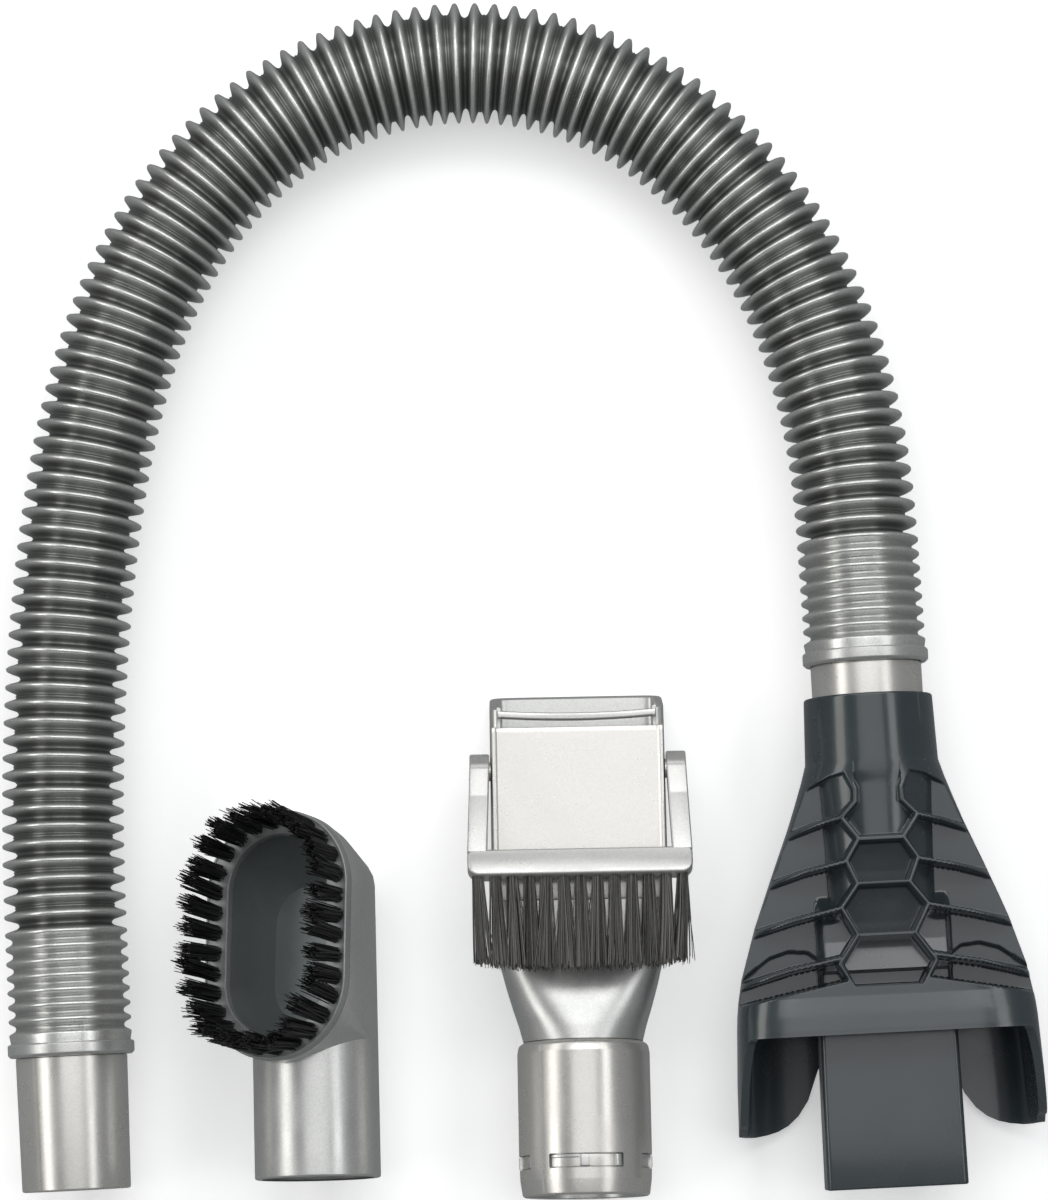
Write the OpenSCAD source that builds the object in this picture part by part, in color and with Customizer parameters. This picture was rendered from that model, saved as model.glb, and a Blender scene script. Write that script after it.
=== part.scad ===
// Vacuum cleaner hose and tool kit: a corrugated hose with a plain cuff at one
// end and a hooded machine adapter at the other, an oval dusting brush, and a
// combination nozzle with a flip-over brush. Everything lies flat on a table.
// +Z is up, +X to the right, +Y towards the top of the hose's arch. The origin
// is on the table, under the middle of the adapter and the two tools.

/* [Hose] */
// Diameter over the hose's crests
hose_od = 38.6; // [37:0.2:38.6]
// Diameter of the airway inside the hose
hose_id = 30.8; // [30:0.2:31.6]
// Outside diameter of the cuff and the spigot
spigot_od = 35; // [34.6:0.1:35]
// Length of the tool end cuff beyond its collar
cuff_len = 42; // [35:1:50]
// Wall of the cuff and the spigot
cuff_wall = 1.9; // [1.5:0.1:2.4]
// Outside diameter of the two hose collars
collar_od = 39.7; // [39.6:0.1:40.2]
// Height of a hose collar along its axis
collar_h = 4.2; // [3.8:0.2:6]

/* [Adapter] */
// Width of the hood at its mouth
hood_w = 96.4; // [92:0.4:104]
// Depth of the hood from back to front
hood_d = 46; // [45:0.5:52]
// Wall of the hood
hood_wall = 2.6; // [2.2:0.1:3]
// Distance from the neck's top to the front lip of the hood
lip_v = 106; // [104:0.5:110]
// Distance from the neck's top to the tips of the back lobes
lobe_v = 136.5; // [134:0.5:139]
// Distance from the neck's top to the end of the tongue
tongue_v = 154.4; // [150:0.2:164]
// Width of the tongue at its end
tongue_w = 44.1; // [42:0.3:47.1]
// Thickness of the tongue
tongue_t = 18; // [17:0.5:22]
// Depth of the honeycomb cells in the front
cell_depth = 4.5; // [2:0.5:6]
// Width of the honeycomb ribs
rib_w = 1.6; // [1.2:0.1:2.2]

/* [Combination nozzle] */
// Width of the nozzle's body at the mouth
nozzle_w = 55.5; // [50:0.5:56]
// Wall of the nozzle's body
nozzle_wall = 2.4; // [2:0.1:3]
// Outside diameter of the swivel collar
swivel_od = 41.6; // [41.2:0.2:42.4]
// Length of the swivel collar
swivel_len = 48; // [45:0.2:52]
// Width over the flip brush's bar
bar_w = 70.6; // [70:0.2:74]
// Length of the flip brush's bristles
flip_len = 32; // [20:1:33]
// Number of tufts in the flip brush
flip_tufts = 13; // [10:1:14]

/* [Dusting brush] */
// Outside diameter of the dusting brush's tube
tube_od = 39.4; // [38.8:0.2:40.4]
// Width of the oval head
oval_w = 49.8; // [46:0.2:51]
// Height of the oval head
oval_h = 78.5; // [74:0.5:80]
// Length of the dusting brush's bristles
dust_len = 21; // [12:1:24]
// Number of tufts round the oval
dust_tufts = 30; // [24:1:32]

/* [Hidden] */
$fn = 72;

silver = "#a3a4a0";
pale = "#c9c7bf";
slate = "#3b4144";
grey = "#7d7f7d";
black = "#1b1b1c";

socket_r = 17.6;        // bore of the two tool sockets
run = 0.08;             // radial running clearance

// ------------------------------------------------------------ hose route
// Centreline of the hose, from the adapter end over the arch to the tool end
ROUTE = [
    [79, 93.5, 23], [78.5, 103.5, 23], [77.7, 114.6, 22.9], [76.5, 136, 22.2], [74.5, 157, 21.2],
    [70.5, 177.5, 20.3], [64.4, 198, 19.5], [56, 217, 19.3], [44.8, 235, 19.3],
    [31, 251, 19.3], [14.7, 265, 19.3], [-3.8, 275.5, 19.3], [-24, 282.5, 19.3],
    [-45.5, 285, 19.3], [-67, 283, 19.3], [-87.5, 277, 19.3], [-106.5, 266.7, 19.3],
    [-123, 253, 19.3], [-137, 236.5, 19.3], [-148, 218.2, 19.3],
    [-156.4, 198.6, 19.3], [-162.4, 178.2, 19.3], [-166.9, 157.4, 19.3],
    [-170, 136.6, 19.3], [-172.2, 116, 19.3], [-173.8, 95, 19.3], [-174.7, 74, 19.3],
    [-175, 53, 19.4], [-174.7, 32, 19.6], [-173.8, 11, 19.9], [-172.5, -10.8, 20],
    [-171.5, -29.8, 20]];

// moves the kit so that the origin is under the middle of the adapter and tools
kit = [1.35, -1.13, 0];
adapter_tilt = 2.9;     // the adapter's axis leans this far about Z
cuff_tilt = 2.9;        // and the tool cuff's this far
neck_at = [79.7, 78.8, 23] + kit;
tool_at = [-171.5, -29.8, 20] + kit;
hose_top = 14.7;        // from the neck's top back to the end of the hose

function unit(a) = a / norm(a);
function flat1(l) = [for (a = l) for (b = a) b];
// A uniform cubic B-spline through control points, with straight ends
function bsp(p, i, t) =
    let (n = len(p),
         a = i == 0 ? 2 * p[0] - p[1] : p[i - 1],
         b = p[i], c = p[i + 1],
         d = i + 2 < n ? p[i + 2] : 2 * p[n - 1] - p[n - 2])
    (pow(1 - t, 3) * a + (3 * pow(t, 3) - 6 * t * t + 4) * b
     + (-3 * pow(t, 3) + 3 * t * t + 3 * t + 1) * c + pow(t, 3) * d) / 6;
HOSE_PTS = [for (p = concat([for (i = [0:len(ROUTE) - 2]) for (t = [0, 0.5]) bsp(ROUTE, i, t)],
                  [ROUTE[len(ROUTE) - 1]])) p + kit];

function ring(c, t, r, sides) =
    let (s = unit(cross([0, 0, 1], t)), u = cross(t, s))
    [for (k = [0:sides - 1]) c + r * (cos(360 * k / sides) * s + sin(360 * k / sides) * u)];
function tangent(p, i) = unit(p[min(i + 1, len(p) - 1)] - p[max(i - 1, 0)]);

// Two triangles for each cell between rings of n points; flip turns them inside out
function skin(m, n, base, flip) = [for (i = [0:m - 2]) for (j = [0:n - 1])
    let (a = base + i * n + j, b = base + i * n + (j + 1) % n,
         c = base + (i + 1) * n + (j + 1) % n, d = base + (i + 1) * n + j)
    for (f = flip ? [[a, b, c], [a, c, d]] : [[a, d, c], [a, c, b]]) f];

// A closed skin over rings of points, in order towards -Y
module loft(secs) {
    n = len(secs[0]);
    m = len(secs);
    polyhedron(flat1(secs), concat(skin(m, n, 0, false),
        [[for (j = [0:n - 1]) j]], [[for (j = [n - 1:-1:0]) (m - 1) * n + j]]));
}

// A superellipse across the local Y axis at distance v below the local origin
function sgn_pow(x, e) = sign(x) * pow(abs(x), e);
function sect(v, a, zl, zh, e, n = 40) = [for (k = [0:n - 1])
    let (t = 360 * k / n)
    [a * sgn_pow(cos(t), 2 / e), -v, (zl + zh) / 2 + (zh - zl) / 2 * sgn_pow(sin(t), 2 / e)]];

module at_neck() { translate(neck_at) rotate([0, 0, adapter_tilt]) children(); }
module at_tool() { translate(tool_at) rotate([0, 0, cuff_tilt]) children(); }
// Turns a shape drawn round +Z so that +Z points along local -Y
module down_y() { rotate([90, 0, 0]) children(); }
module tube(r1, r2, a, b) {
    down_y() translate([0, 0, a]) difference() {
        cylinder(r = r1, h = b - a);
        translate([0, 0, -1]) cylinder(r = r2, h = b - a + 2);
    }
}
// A turned ring from an outline of [radius, distance along] points
module turned(pts) { down_y() rotate_extrude() polygon(pts); }

// ------------------------------------------------------------ hose
module hose() {
    m = len(HOSE_PTS);
    n = 12;
    outer = [for (i = [0:m - 1]) ring(HOSE_PTS[i], tangent(HOSE_PTS, i), hose_od / 2, n)];
    inner = [for (i = [0:m - 1]) ring(HOSE_PTS[i], tangent(HOSE_PTS, i), hose_id / 2, n)];
    base = m * n;
    last = (m - 1) * n;
    color(grey) polyhedron(concat(flat1(outer), flat1(inner)), concat(
        skin(m, n, 0, false), skin(m, n, base, true),
        [for (j = [0:n - 1]) let (k = (j + 1) % n) for (f = [[j, k, base + k], [j, base + k, base + j]]) f],
        [for (j = [0:n - 1]) let (k = (j + 1) % n)
            for (f = [[last + k, last + j, base + last + j], [last + k, base + last + j, base + last + k]]) f]));
}

// A sleeve inside the hose's end, with the flange that the collar closes on
module end_insert() {
    turned([[13.6, -12], [14.6, -12], [hose_id / 2 - 0.1, -10], [hose_id / 2 - 0.1, 0.02],
            [19.1, 0.02], [19.1, 1.2], [13.6, 1.2]]);
}
// The collar, a ring that holds the flange of the cuff against the insert
module end_collar() {
    R = collar_od / 2;
    turned([[19.1, 0.02], [R - 0.5, 0.02], [R, 0.5], [R, collar_h - 0.6], [R - 0.6, collar_h],
            [spigot_od / 2 - 0.8 + run, collar_h], [spigot_od / 2 - 0.8 + run, 2.8], [19.1, 2.8]]);
}
// A plain tube whose flange turns between the insert and the collar
module swivel_tube(len_out) {
    r = spigot_od / 2;
    turned([[r - cuff_wall, 1.3], [19, 1.3], [19, 2.7], [r - 0.8, 2.7], [r - 0.8, collar_h + 0.1], [r, collar_h + 0.1], [r, len_out - 0.8],
            [r - 0.8, len_out], [r - cuff_wall, len_out]]);
}

module tool_end_insert() { color(grey) at_tool() end_insert(); }
module tool_end_collar() { color(silver) at_tool() end_collar(); }
module tool_cuff() { color(pale) at_tool() swivel_tube(collar_h + cuff_len); }
module at_hose_top() { at_neck() translate([0, hose_top, 0]) children(); }
module adapter_end_insert() { color(grey) at_hose_top() end_insert(); }
module adapter_end_collar() { color(silver) at_hose_top() end_collar(); }
module adapter_spigot() { color(pale) at_hose_top() swivel_tube(hose_top + 32); }

// ------------------------------------------------------------ adapter
HW = hood_w / 2;
ZL = -23;                       // the table, seen from the neck's axis
ZH = hood_d - 23;
// distance, half width, lowest, highest, squareness
HOOD = [[20, 20.5, -20.5, 20.5, 2], [26, 22.3, -21, 21, 2.1], [33, 25, -21.4, 21.3, 2.3],
        [40, 27.5, -21.8, 21.6, 2.5], [55, 33.5, -22.4, 22, 3.1], [71, 39.7 * HW / 48.2, -22.8, 22.4, 3.7],
        [87, 44.7 * HW / 48.2, ZL, 22.7, 3.8], [101, 46.7 * HW / 48.2, ZL, ZH, 4],
        [120, 47.7 * HW / 48.2, ZL, ZH, 4.2], [140, HW, ZL, ZH, 4.4]];
function hood_at(v) = let (k = [for (i = [0:len(HOOD) - 2]) if (HOOD[i][0] <= v) i],
    i = k[len(k) - 1], t = (v - HOOD[i][0]) / (HOOD[i + 1][0] - HOOD[i][0]))
    HOOD[i] * (1 - t) + HOOD[i + 1] * t;

// Honeycomb cells, as [across, along] outlines on the right and the middle
HEX = [[[7, 43.3], [11.2, 49.9], [8.1, 57.3], [-8.1, 57.3], [-11.2, 49.9], [-7, 43.3]],
       [[8.1, 57.3], [13.5, 64.5], [8.9, 73.2], [-8.9, 73.2], [-13.5, 64.5], [-8.1, 57.3]],
       [[8.9, 73.2], [15, 82], [9.9, 91.4], [-9.9, 91.4], [-15, 82], [-8.9, 73.2]]];
SIDE = [[[9.4, 23], [6, 29], [11.9, 36.3], [24, 39.4], [20, 26.5]],
        [[11.9, 36.3], [7, 43.3], [11.2, 49.9], [30, 54], [24.5, 39.6]],
        [[11.2, 49.9], [8.1, 57.3], [13.5, 64.5], [36, 69.5], [30, 54.5]],
        [[13.5, 64.5], [8.9, 73.2], [14.5, 80.5], [41.5, 85.8], [36, 70]],
        [[14.5, 80.5], [15, 82], [11.4, 89], [40, 93.5], [42, 86.2]]];

module cells() {
    for (c = concat(HEX, SIDE, [for (s = SIDE) [for (p = s) [-p[0], p[1]]]]))
        translate([0, 0, ZH - cell_depth - 1])
            linear_extrude(height = 12) offset(delta = -rib_w / 2) polygon([for (p = c) [p[0], -p[1] - 2.3]]);
}

// Outline of the duct: round at the neck, rectangular at the tongue
TW = tongue_w / 2;
TT = tongue_t / 2;
function duct_sect(g, w) = [for (s = [[34, 17.5, 17.5, 2], [52, 17.5, 17.5, 2], [63, 18.6, 15.6, 2.6],
        [74, 20.3, 13.2, 4], [85, 21.1, TT + 1.2, 7], [97, TW * 0.975, TT, 14]])
    sect(s[0] + (s[0] == 34 ? -g : s[0] == 97 ? g : 0), s[1] - w, -s[2] + w, s[2] - w, s[3])];
module tongue(w, a, b) {
    translate([0, 0, -TT + w]) linear_extrude(height = tongue_t - 2 * w)
        polygon([[-TW * 0.975 + w, -a], [-TW + w, -b], [TW - w, -b], [TW * 0.975 - w, -a]]);
}

module adapter_shell() {
    w = hood_wall;
    color(slate) at_neck() difference() {
        union() {
            turned([[0, 0], [19.6, 0], [20.2, 0.6], [20.9, 20.6], [19, 20.6], [19, 22.6], [0, 22.6]]);
            loft([for (s = HOOD) sect(s[0], s[1], s[2], s[3], s[4])]);
        }
        // the round socket for the spigot
        down_y() translate([0, 0, -1]) cylinder(r = spigot_od / 2 + run, h = 34.5);
        // the way for the duct
        loft(duct_sect(0.6, 0));
        // the pocket round the tongue, lower under the honeycomb
        intersection() {
            loft([for (v = [60, 71, 87, 101, 120, 141]) let (s = hood_at(min(v, 140)))
                sect(v, s[1] - w, s[2] + w, s[3] - w, s[4])]);
            union() {
                translate([-60, -150, -30]) cube([120, 60.5, 60]);
                translate([-60, -150, -30]) cube([120, 95, 41]);
            }
        }
        // the front lip, with round corners
        translate([0, 0, -9]) linear_extrude(height = 60)
            offset(r = 3) offset(delta = -3) polygon([[-HW + w + 1.6, -lip_v], [HW - w - 1.6, -lip_v],
                [HW - w - 1.6, -160], [-HW + w + 1.6, -160]]);
        // the back is cut away behind the tongue and leaves two lobes
        translate([0, 0, -30]) linear_extrude(height = 30) polygon(concat(
            [for (s = [[49.6, 0.6], [45, 0], [40, 0.7], [36, 1.8], [32, 4], [29, 7], [26.5, 10.6], [24.5, 15], [22.8, 20], [20, 26], [8, 30]])
                [s[0], -lobe_v + s[1]]],
            [for (s = [[-8, 30], [-20, 26], [-22.8, 20], [-24.5, 15], [-26.5, 10.6], [-29, 7], [-32, 4], [-36, 1.8], [-40, 0.7], [-45, 0], [-49.6, 0.6]])
                [s[0], -lobe_v + s[1]]], [[-60, -lobe_v], [-60, -170], [60, -170], [60, -lobe_v]]));
        translate([-60, -170, -30]) cube([120, 170 - lobe_v, 80]);
        cells();
    }
}

module adapter_duct() {
    w = 1.9;
    color(slate) at_neck() difference() {
        union() {
            loft(duct_sect(0, 0.05));
            tongue(0, 96.5, tongue_v);
        }
        loft(duct_sect(0.5, w + 0.05));
        tongue(w, 96, tongue_v + 1);
    }
}

// ------------------------------------------------------------ combination nozzle
nozzle_at = [-11, 0, 19.45] + kit;
nozzle_lean = 1.1;              // its axis leans this far about Z
nozzle_pitch = 3.1;             // and its collar end is raised by this, with the mouth on the table
NW = nozzle_w / 2;
collar_top = -30;               // Y of the swivel collar's upper edge
mouth_y = 81.8;                 // Y of the mouth's back edge
front_y = 69;                   // Y of the front plate's upper edge
// y, half width, lowest, highest, squareness; heights from the nozzle's axis
BODY = [[mouth_y, NW - 0.2, -15, 10, 9], [30, NW, -15.8, 10.6, 9], [14, NW - 0.3, -16.4, 11.6, 7],
        [4, 27.2, -17, 13, 5], [-8, 24.6, -18, 15, 3.4], [-20, 21.4, -18.6, 17.4, 2.4],
        [-27, 19.2, -18.8, 18.6, 2], [-29.7, 18.8, -18.8, 18.8, 2]];
module at_nozzle() { translate(nozzle_at) rotate([0, 0, nozzle_lean]) rotate([-nozzle_pitch, 0, 0]) children(); }

pivot = [55.5, 7];              // Y and height above the axis of the brush's pivot
module nozzle_body() {
    w = nozzle_wall;
    color(silver) at_nozzle() difference() {
        union() {
            difference() {
                loft([for (s = BODY) sect(-s[0], s[1], s[2], s[3], s[4])]);
                // the slanted mouth, cut back towards the front
                translate([-40, mouth_y, -15]) rotate([16, 0, 0]) cube([80, 20, 40]);
            }
            // the stem with the flange that keeps the collar on
            translate([0, collar_top, 0]) turned([[0, -0.4], [18, -0.4], [18, 4.3], [19, 4.3], [19, 7], [0, 7]]);
            // two bosses that the flip brush turns on
            for (s = [-1, 1]) translate([0, pivot[0], pivot[1]])
                rotate([0, 90, 0]) cylinder(r = 3, h = 2 * (NW + 3.6), center = true);
        }
        loft([for (s = BODY) sect(-s[0] - (s[0] == mouth_y ? 1 : 0), s[1] - w,
            s[2] + w, s[3] - w, s[4])]);
        translate([0, collar_top + 2, 0]) down_y() cylinder(r = 15.6, h = 12);
        // the recess that the front plate lies in
        translate([-NW + 0.7, 14, 10]) cube([nozzle_w - 1.4, front_y - 14, 4]);
        translate([-NW + w + 0.2, front_y, 6]) cube([nozzle_w - 2 * w - 0.4, 12, 8]);
    }
}
module nozzle_front_plate() {
    x = NW - 0.75;
    color(pale) at_nozzle() {
        translate([-x, 14.1, 10.02]) cube([2 * x, front_y - 14.1, 1.3]);
        for (s = [-1, 1]) translate([s * (x - 0.7) - 0.7, 14.1, 11.3]) cube([1.4, front_y - 14.1, 0.5]);
    }
}
// The cross bar in the mouth, bowed slightly towards the plate
module nozzle_lip_bar() {
    x = NW - nozzle_wall - 0.6;
    color(silver) at_nozzle() translate([0, 0, 7.2]) linear_extrude(height = 3.2) polygon(concat(
        [for (k = [-6:6]) [k * x / 6, 71.3 + pow(k / 6, 2)]],
        [for (k = [6:-1:-6]) [k * x / 6, 73.4 + pow(k / 6, 2)]]));
}

// The flip brush is drawn along local -Y from its pivot, then tilted
flip_tilt = 18;
bar_at = 32.4;                  // from the pivot to the middle of the bar
module at_pivot() {
    at_nozzle() translate([0, pivot[0], pivot[1]]) rotate([-flip_tilt, 0, 0]) children();
}
module flip_brush_frame() {
    B = bar_w / 2;
    color(silver) at_pivot() {
        difference() {
            union() {
                for (s = [-1, 1]) translate([s * 32.1, 0, 0]) rotate([0, 90, 0]) {
                    cylinder(r = 6, h = 6.4, center = true);
                    linear_extrude(height = 6.4, center = true)
                        polygon([[-6, 0], [6, 0], [3.1, -bar_at + 3], [-3.1, -bar_at + 3]]);
                }
                // the bar, with round ends
                translate([0, -bar_at, -3]) linear_extrude(height = 6)
                    offset(r = 2.4) square([bar_w - 4.8, 4], center = true);
            }
            for (s = [-1, 1]) translate([s * 28, 0, 0]) rotate([0, 90, 0])
                cylinder(r = 3 + run, h = 8, center = true);
        }
    }
}
module flip_brush_tufts() {
    span = bar_w - 7;
    color(black) at_pivot() for (k = [0:flip_tufts - 1])
        translate([-span / 2 + k * span / (flip_tufts - 1), -bar_at - 4.8, 0]) down_y() {
            cylinder(r = 2, h = flip_len, $fn = 24);
        }
}

module swivel_collar() {
    R = swivel_od / 2;
    L = swivel_len;
    color(pale) at_nozzle() translate([0, collar_top, 0]) difference() {
        turned([[18 + run, 0], [R - 2.2, 0], [R - 0.9, 0.4], [R - 0.2, 1.3], [R, 2.6], [R, L - 9.5],
                [R - 0.3, L - 7], [R - 1, L - 1], [R - 1.8, L], [19.1, L], [19.1, 4.2], [18 + run, 4.2]]);
        // four windows for the insert's snaps
        for (a = [0, 90, 180, 270]) rotate([0, a, 0])
            translate([-11.6, -L + 8.3, 15]) cube([23.2, 4.6, 10]);
    }
}
module socket_insert() {
    L = swivel_len;
    color(silver) at_nozzle() translate([0, collar_top, 0]) difference() {
        union() {
            turned([[socket_r, 7.1], [19.1, 7.1], [19.1, L - 0.8], [18.3, L - 0.2], [socket_r, L - 0.2]]);
            // the snaps fill the windows
            for (a = [0, 90, 180, 270]) rotate([0, a, 0]) intersection() {
                translate([-11.45, -L + 8.45, 10]) cube([22.9, 4.3, 14]);
                tube(swivel_od / 2 - 0.55, socket_r, L - 20, L - 5);
            }
            for (a = [0, 90, 180, 270]) rotate([0, a, 0]) intersection() {
                translate([-1.3, -L + 8.45, 10]) cube([2.6, 4.3, 14]);
                tube(swivel_od / 2 + 0.1, socket_r, L - 20, L - 5);
            }
        }
        tube(socket_r, 0.5, 5, L + 2);
    }
}

// ------------------------------------------------------------ dusting brush
dust_at = [-95.3, 0, 20.56] + kit;
dust_lean = 1.5;                // its tube leans this far about Z
dust_pitch = 2.8;               // and the tube's end is raised by this
dust_end = -72.6;               // Y of the tube's open end
roll = -26;                     // the head leans this far about the tube's axis
pitch = -5;                     // and its face looks this far towards +Y
face_at = [0, 2.5, 25];         // middle of the face, from the tube's axis
TR = tube_od / 2;
module at_dust() { translate(dust_at) rotate([0, 0, dust_lean]) rotate([-dust_pitch, 0, 0]) rotate([0, roll, 0]) children(); }
module at_face() { at_dust() translate(face_at) rotate([pitch, 0, 0]) children(); }
// A stadium with straight sides along Y
module stadium(w, h) { hull() for (s = [-1, 1]) translate([0, s * (h - w) / 2]) circle(d = w, $fn = 64); }

module dusting_brush_body() {
    color(silver) difference() {
        union() {
            at_dust() translate([0, dust_end, 0]) mirror([0, 1, 0]) turned([[0, 0], [TR - 0.6, 0], [TR, 0.6], [TR, 60], [0, 60]]);
            hull() {
                at_face() translate([0, 0, -12]) linear_extrude(height = 9) stadium(oval_w, oval_h);
                at_dust() translate([0, -24, 0]) mirror([0, 1, 0]) down_y() cylinder(r = TR - 0.02, h = 43, $fn = 48);
                at_dust() translate([0, 18, 0]) mirror([0, 1, 0]) down_y() cylinder(r = TR - 4, h = 9, $fn = 48);
            }
        }
        // the cavity behind the bristles
        hull() {
            at_face() translate([0, 0, -11]) linear_extrude(height = 14) stadium(oval_w - 15, oval_h - 15.2);
            at_dust() translate([0, -18, -1]) mirror([0, 1, 0]) down_y() cylinder(r = 14.5, h = 38, $fn = 32);
        }
        // the socket for the hose's cuff, and the airway above it
        at_dust() translate([0, dust_end - 1, 0]) mirror([0, 1, 0]) down_y() cylinder(r = socket_r, h = 40);
        at_dust() translate([0, dust_end, 0]) mirror([0, 1, 0]) down_y() cylinder(r = 15.4, h = 60);
    }
}
module bristle_ring() {
    color(silver) at_face() translate([0, 0, -2.98]) linear_extrude(height = 2.98) difference() {
        stadium(oval_w, oval_h);
        stadium(oval_w - 15, oval_h - 15.2);
    }
}
// Points evenly along a stadium outline of width w and height h
function stad(w, h, s) = let (r = w / 2, e = h - w, c = PI * r, L = 2 * e + 2 * c, q = s * L)
    q < e ? [r, -e / 2 + q] :
    q < e + c ? [r * cos((q - e) / c * 180), e / 2 + r * sin((q - e) / c * 180)] :
    q < 2 * e + c ? [-r, e / 2 - (q - e - c)] :
    [r * cos(180 + (q - 2 * e - c) / c * 180), -e / 2 + r * sin(180 + (q - 2 * e - c) / c * 180)];
module dusting_tufts() {
    color(black) at_face() for (k = [0:dust_tufts - 1]) translate(stad(oval_w - 7.2, oval_h - 7.2, k / dust_tufts))
        cylinder(r = 2.8, h = dust_len, $fn = 24);
}

hose();
tool_end_insert();
tool_end_collar();
tool_cuff();
adapter_end_insert();
adapter_end_collar();
adapter_spigot();
adapter_shell();
adapter_duct();
nozzle_body();
nozzle_front_plate();
nozzle_lip_bar();
flip_brush_frame();
flip_brush_tufts();
swivel_collar();
socket_insert();
dusting_brush_body();
bristle_ring();
dusting_tufts();
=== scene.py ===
import bpy, bmesh, math, random
import numpy as np
from mathutils import Matrix, Vector


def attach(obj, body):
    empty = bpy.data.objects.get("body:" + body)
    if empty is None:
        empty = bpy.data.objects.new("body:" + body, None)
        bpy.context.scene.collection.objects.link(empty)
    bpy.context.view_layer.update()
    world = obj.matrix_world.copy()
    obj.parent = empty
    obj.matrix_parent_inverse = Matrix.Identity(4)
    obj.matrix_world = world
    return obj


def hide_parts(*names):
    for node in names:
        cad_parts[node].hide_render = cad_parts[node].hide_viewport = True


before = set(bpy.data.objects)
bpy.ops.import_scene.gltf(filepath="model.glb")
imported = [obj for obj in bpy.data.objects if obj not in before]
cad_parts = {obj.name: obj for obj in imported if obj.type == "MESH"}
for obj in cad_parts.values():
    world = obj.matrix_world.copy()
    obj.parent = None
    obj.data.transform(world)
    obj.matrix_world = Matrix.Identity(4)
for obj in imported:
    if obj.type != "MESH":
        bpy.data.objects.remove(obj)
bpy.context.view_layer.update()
rng = np.random.default_rng(7)
sc = bpy.context.scene
sc.view_settings.view_transform = "Standard"

# ------------------------------------------------------------ frames, in mm
KIT = np.array([1.35, -1.13, 0.0])


def T(p):
    m = np.eye(4); m[:3, 3] = p; return m


def Rx(d):
    a = math.radians(d); m = np.eye(4); m[1:3, 1:3] = [[math.cos(a), -math.sin(a)], [math.sin(a), math.cos(a)]]; return m


def Ry(d):
    a = math.radians(d); m = np.eye(4)
    m[0, 0] = m[2, 2] = math.cos(a); m[0, 2] = math.sin(a); m[2, 0] = -math.sin(a); return m


def Rz(d):
    a = math.radians(d); m = np.eye(4); m[0:2, 0:2] = [[math.cos(a), -math.sin(a)], [math.sin(a), math.cos(a)]]; return m


M_NECK = T(np.array([79.7, 78.8, 23]) + KIT) @ Rz(2.9)
M_TOP = M_NECK @ T([0, 14.7, 0])
M_TOOL = T(np.array([-171.5, -29.8, 20]) + KIT) @ Rz(2.9)
M_NOZ = T(np.array([-11, 0, 19.45]) + KIT) @ Rz(1.1) @ Rx(-3.1)
M_PIV = M_NOZ @ T([0, 55.5, 7]) @ Rx(-18)
M_COL = M_NOZ @ T([0, -30, 0])
M_DUST = T(np.array([-95.3, 0, 20.56]) + KIT) @ Rz(1.5) @ Rx(-2.8) @ Ry(-26)
M_FACE = M_DUST @ T([0, 2.5, 25]) @ Rx(-5)


# ------------------------------------------------------------ camera
CAM_AT = np.array([-27.678, 109.216, 19.0]) * 0.001
TILT = math.radians(6.4)
DIST = 1.5
cam_data = bpy.data.cameras.new("camera")
cam = bpy.data.objects.new("camera", cam_data)
sc.collection.objects.link(cam)
cam.location = (CAM_AT[0], CAM_AT[1] - math.sin(TILT) * DIST, CAM_AT[2] + math.cos(TILT) * DIST)
cam.rotation_euler = (TILT, 0, 0)
cam_data.sensor_width = 36
cam_data.lens = 36 * (DIST * 1000 / 0.318) / 1200
cam_data.clip_start, cam_data.clip_end = 0.05, 20
sc.camera = cam


# ------------------------------------------------------------ mesh helpers
def make(name, verts, faces, M, mat, body, slot=None, replaces=(), angle=32, recalc=True):
    """A mesh piece from points in mm in the local frame M."""
    v = np.asarray(verts, float)
    v = (v @ M[:3, :3].T + M[:3, 3]) * 0.001
    me = bpy.data.meshes.new(name)
    me.from_pydata(v.tolist(), [], [list(map(int, f)) for f in faces])
    me.validate()
    if recalc:
        bm = bmesh.new(); bm.from_mesh(me)
        bmesh.ops.remove_doubles(bm, verts=bm.verts, dist=1e-7)
        bmesh.ops.recalc_face_normals(bm, faces=bm.faces)
        bm.to_mesh(me); bm.free()
    finish_mesh(me, angle)
    o = bpy.data.objects.new(name, me)
    sc.collection.objects.link(o)
    dress(o, mat, body, replaces)
    return o


def finish_mesh(me, angle):
    me.polygons.foreach_set("use_smooth", [True] * len(me.polygons))
    me.set_sharp_from_angle(angle=math.radians(angle))
    me.update()


def dress(o, mat, body, replaces=()):
    o.data.materials.clear()
    o.data.materials.append(mat)
    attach(o, body)
    if replaces:
        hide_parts(*replaces)


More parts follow.
